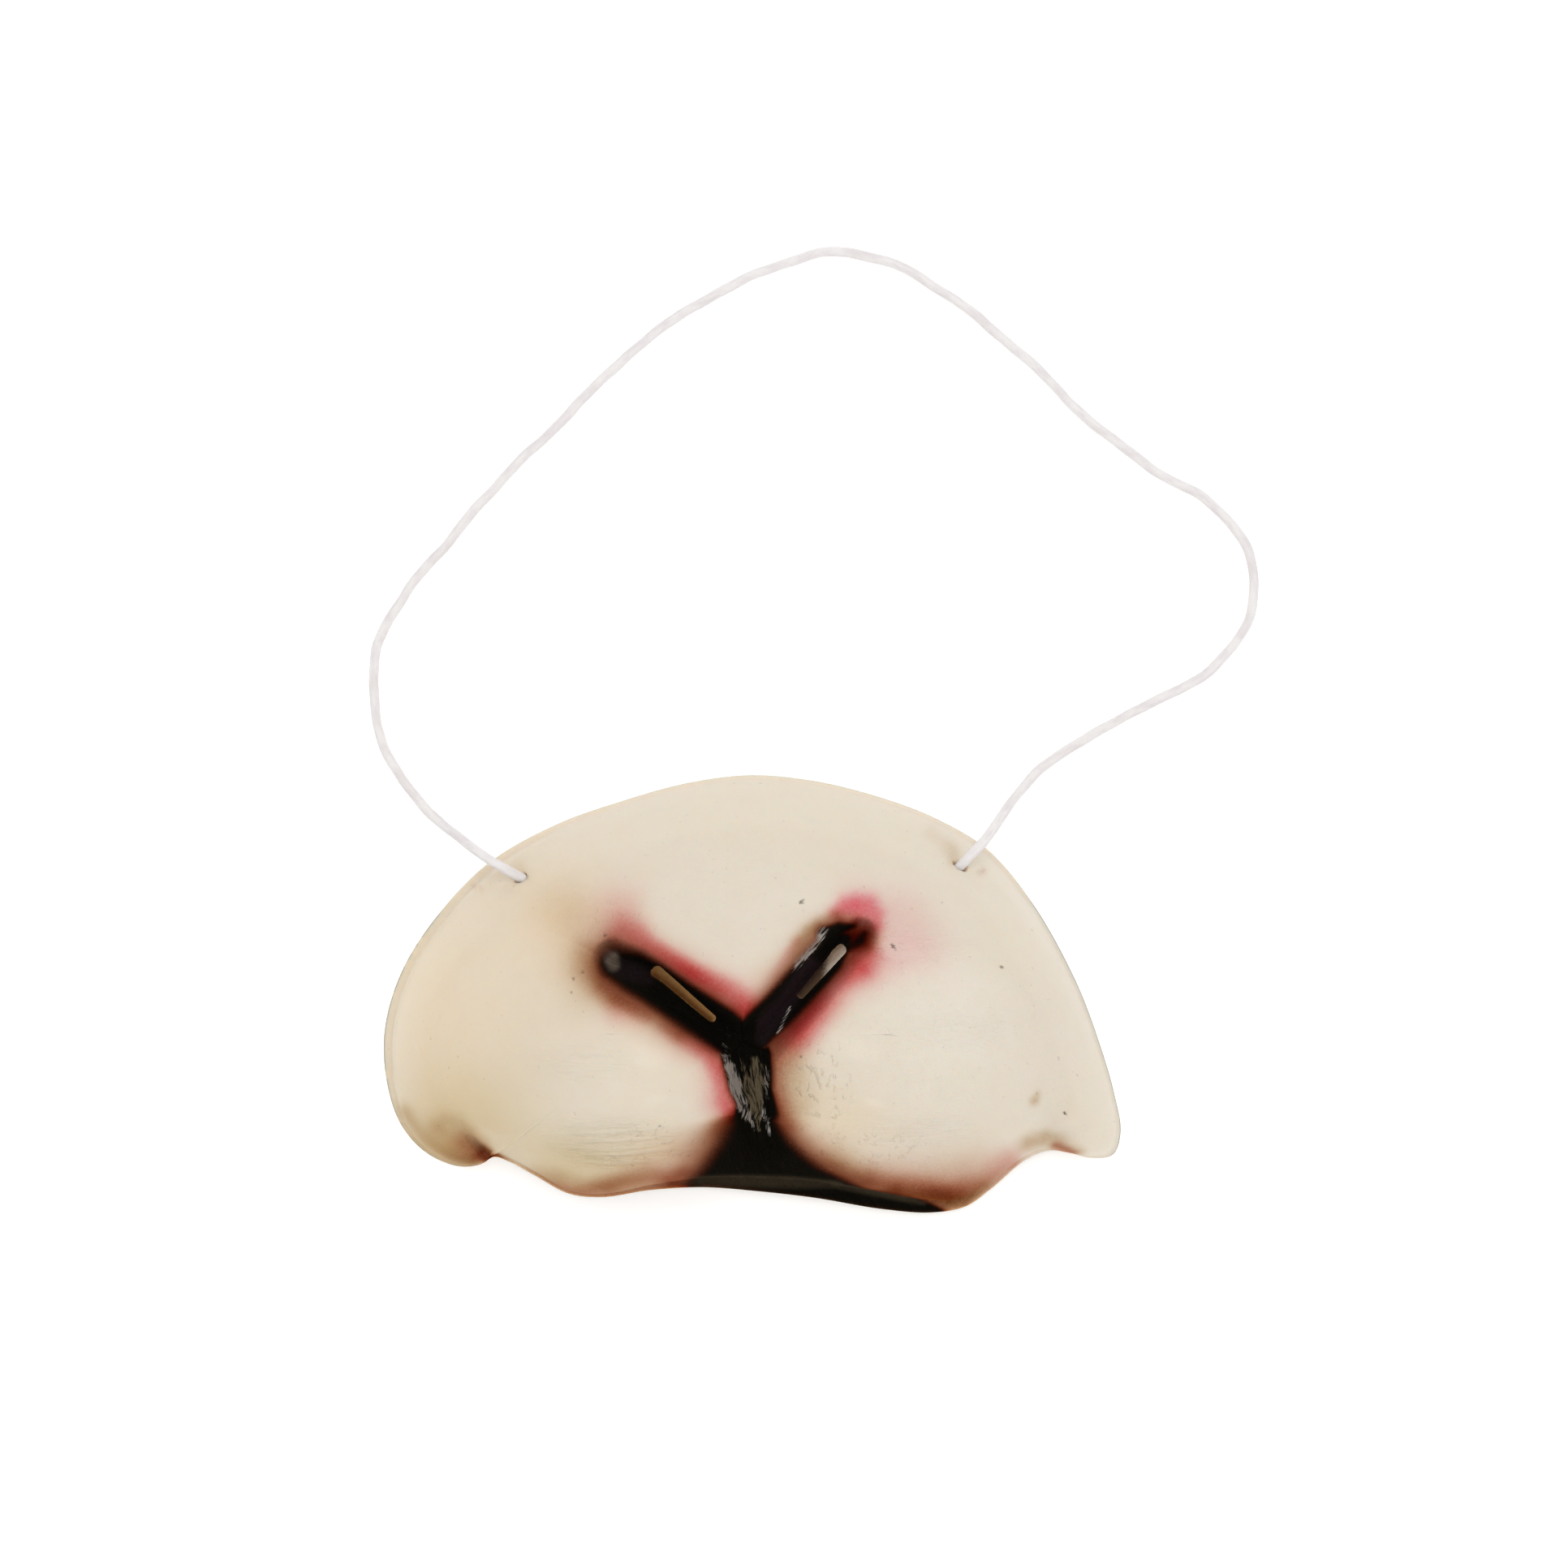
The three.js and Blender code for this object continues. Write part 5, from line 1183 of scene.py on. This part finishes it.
def raw_latex_material():
    m = Tree("latex_raw")
    p = m.mm()
    mid = m.noise(p, 0.16, 3.0, 0.6)
    fine = m.noise(p, 1.6, 4.0, 0.6)
    col = m.mix(m.ramp(mid, 0.35, 0.68), (0.58, 0.475, 0.34), (0.63, 0.53, 0.40))
    col = m.mix(m.ramp(fine, 0.55, 0.8, 0.0, 0.4), col, (0.48, 0.375, 0.25))
    m.set(m.shader.inputs["Base Color"], col)
    m.set(m.shader.inputs["Roughness"], m.ramp(fine, 0.2, 0.8, 0.5, 0.75, smooth=False))
    m.shader.inputs["Specular IOR Level"].default_value = 0.10
    m.shader.inputs["Subsurface Weight"].default_value = 0.8
    m.shader.inputs["Subsurface Radius"].default_value = (1.0, 0.60, 0.36)
    m.shader.inputs["Subsurface Scale"].default_value = 0.0024
    m.set(m.shader.inputs["Normal"], m.bump(m.blend(0.5, mid, fine), 0.00045, 0.6))
    return m.material


def cut_latex_material():
    """The knife-cut faces of the slits: bare latex with light and shade painted in. Over the right slit's upper end a
    bright cream stands for light falling through it, the rest of the right slit is dark brown painted shade, and the
    left slit's ochre is partly bare latex, partly a painted warm glow of light passing through the wall.
    """
    m = Tree("latex_cut")
    p = m.mm()
    fine = m.noise(p, 1.8, 3.0, 0.6)
    x = m.nodes.new("ShaderNodeSeparateXYZ")
    m.set(x.inputs[0], p)
    # painted light: bright cream over the upper end of the right slit
    lit_through_slit = m.ramp(m.math("ADD", x.outputs[0], m.math("MULTIPLY", m.math("SUBTRACT", fine, 0.5), 1.5)), 10.0, 11.6)
    # ochre on the left slit, partly bare latex and partly painted glow; dark brown painted shade on the right slit
    slit_glow_and_shade = m.mix(m.ramp(x.outputs[0], 2.0, 4.0), (0.600, 0.340, 0.125), (0.130, 0.070, 0.038))
    col = m.mix(lit_through_slit, slit_glow_and_shade, (0.76, 0.62, 0.50))
    col = m.mix(m.ramp(fine, 0.50, 0.78, 0.0, 0.22), col, (0.16, 0.09, 0.04))
    m.set(m.shader.inputs["Base Color"], col)
    m.shader.inputs["Roughness"].default_value = 0.7
    m.shader.inputs["Specular IOR Level"].default_value = 0.1
    m.set(m.shader.inputs["Normal"], m.bump(fine, 0.00012, 0.5))
    return m.material


latex, raw, cut_face = latex_material(), raw_latex_material(), cut_latex_material()
shell = new_object("latex_nose", mm(verts), faces, index, [latex, raw])


# ------------------------------------------------------------------ slits and cord holes
def slit_cutter(x0, y0, x1, y1, wide, lean):
    """A rounded slot, a little wider at its first end, cut at a slant as a knife leaves it."""
    length, turn = math.hypot(x1 - x0, y1 - y0), math.atan2(y1 - y0, x1 - x0)
    r0, r1 = wide * 0.56, wide * 0.38
    ring = [(-length / 2 + r0 + r0 * math.cos(a), r0 * math.sin(a)) for a in np.linspace(math.pi / 2, 3 * math.pi / 2, 13)]
    ring += [(length / 2 - r1 + r1 * math.cos(a), r1 * math.sin(a)) for a in np.linspace(-math.pi / 2, math.pi / 2, 13)]
    mx, my = (x0 + x1) / 2, (y0 + y1) / 2
    plan = np.array([(mx + px * math.cos(turn) - py * math.sin(turn), my + px * math.sin(turn) + py * math.cos(turn))
                     for px, py in ring])
    # upright down to the level of the slit's middle line, slanted below it
    run = np.array([px for px, _ in ring]) / length
    level = raster(HIGH, np.array([x0, mx, x1]), np.array([y0, my, y1]))
    top = np.interp(run, [-0.5, 0.0, 0.5], level)
    deep = 5.0
    pts = ([(x + deep * lean * math.sin(turn), y - deep * lean * math.cos(turn), z - deep) for (x, y), z in zip(plan, top)]
           + [(x, y, z) for (x, y), z in zip(plan, top)] + [(x, y, 60.0) for x, y in plan])
    n = len(ring)
    f = [list(range(n))[::-1], list(range(2 * n, 3 * n))]
    for a in (0, n):
        for k in range(n):
            b = (k + 1) % n
            f += [[a + k, a + b, a + n + b], [a + k, a + n + b, a + n + k]]
    return np.array(pts), f


def hole_cutter(at, direction, r, oval=1.0):
    u = np.cross(direction, [0, 0, 1.0])
    u /= np.linalg.norm(u)
    w = np.cross(direction, u)
    pts = []
    n = 28
    for h in (-7.0, 7.0):
        for k in range(n):
            a = 2 * math.pi * k / n
            pts.append(at + direction * h + u * r * oval * math.cos(a) + w * r * math.sin(a))
    f = [list(range(n)), list(range(n, 2 * n))[::-1]]
    f += [[k, n + k, n + (k + 1) % n, (k + 1) % n] for k in range(n)]
    return np.array(pts), f


def cut(obj, cutter, face):
    pts, f = cutter
    tool = new_object("cutter", mm(pts), f, materials=[face])
    bm = bmesh.new()
    bm.from_mesh(tool.data)
    bmesh.ops.recalc_face_normals(bm, faces=bm.faces)
    bm.to_mesh(tool.data)
    bm.free()
    mod = obj.modifiers.new("cut", "BOOLEAN")
    mod.operation, mod.object = "DIFFERENCE", tool
    mod.solver = "MANIFOLD"
    mod.material_mode = "TRANSFER"
    bpy.context.view_layer.update()
    done = bpy.data.meshes.new_from_object(obj.evaluated_get(bpy.context.evaluated_depsgraph_get()))
    obj.modifiers.remove(mod)
    obj.data = done
    bpy.data.objects.remove(tool)


for (_, x0, y0, x1, y1, wide), lean in zip(SLITS, (1.0, 0.8)):
    cut(shell, slit_cutter(x0, y0, x1, y1, wide, lean), cut_face)
cut(shell, hole_cutter(left_at, left_dir, HOLE_D / 2 - 0.06), raw)
cut(shell, hole_cutter(right_at + np.array([-0.15, -0.1, 0]), right_dir, HOLE_D / 2 + 0.05, 1.1), raw)
shell.data.name = "latex_nose"
paint_attributes(shell.data)
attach(shell, "root")
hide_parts("nose_shell")

# ------------------------------------------------------------------ table and light
floor_mesh = bpy.data.meshes.new("table")
floor_mesh.from_pydata([(-3, -3, 0), (3, -3, 0), (3, 3, 0), (-3, 3, 0)], [], [(0, 1, 2, 3)])
floor = bpy.data.objects.new("table", floor_mesh)
scene.collection.objects.link(floor)
paper = Tree("table_white")
paper.shader.inputs["Base Color"].default_value = (0.95, 0.95, 0.95, 1)
paper.shader.inputs["Roughness"].default_value = 0.85
paper.shader.inputs["Emission Color"].default_value = (1, 1, 1, 1)
paper.shader.inputs["Emission Strength"].default_value = 0.20
floor.data.materials.append(paper.material)

world = bpy.data.worlds.new("studio")
scene.world = world
world.use_nodes = True
world.node_tree.nodes["Background"].inputs[0].default_value = (1.0, 1.0, 1.0, 1)
world.node_tree.nodes["Background"].inputs[1].default_value = 0.89


def softbox(name, at, aim, size, power, colour=(1, 1, 1)):
    data = bpy.data.lights.new(name, "AREA")
    data.shape, data.size, data.energy, data.color = "SQUARE", size, power, colour
    o = bpy.data.objects.new(name, data)
    scene.collection.objects.link(o)
    o.location = at
    o.rotation_euler = (Vector(aim) - Vector(at)).to_track_quat("-Z", "Y").to_euler()
    return o


softbox("key", (0.05, 0.34, 0.94), (0.0, 0.0, 0.02), 0.50, 3.4)
softbox("front_card", (0.08, -0.52, 0.48), (0.0, -0.01, 0.03), 0.16, 0.5)
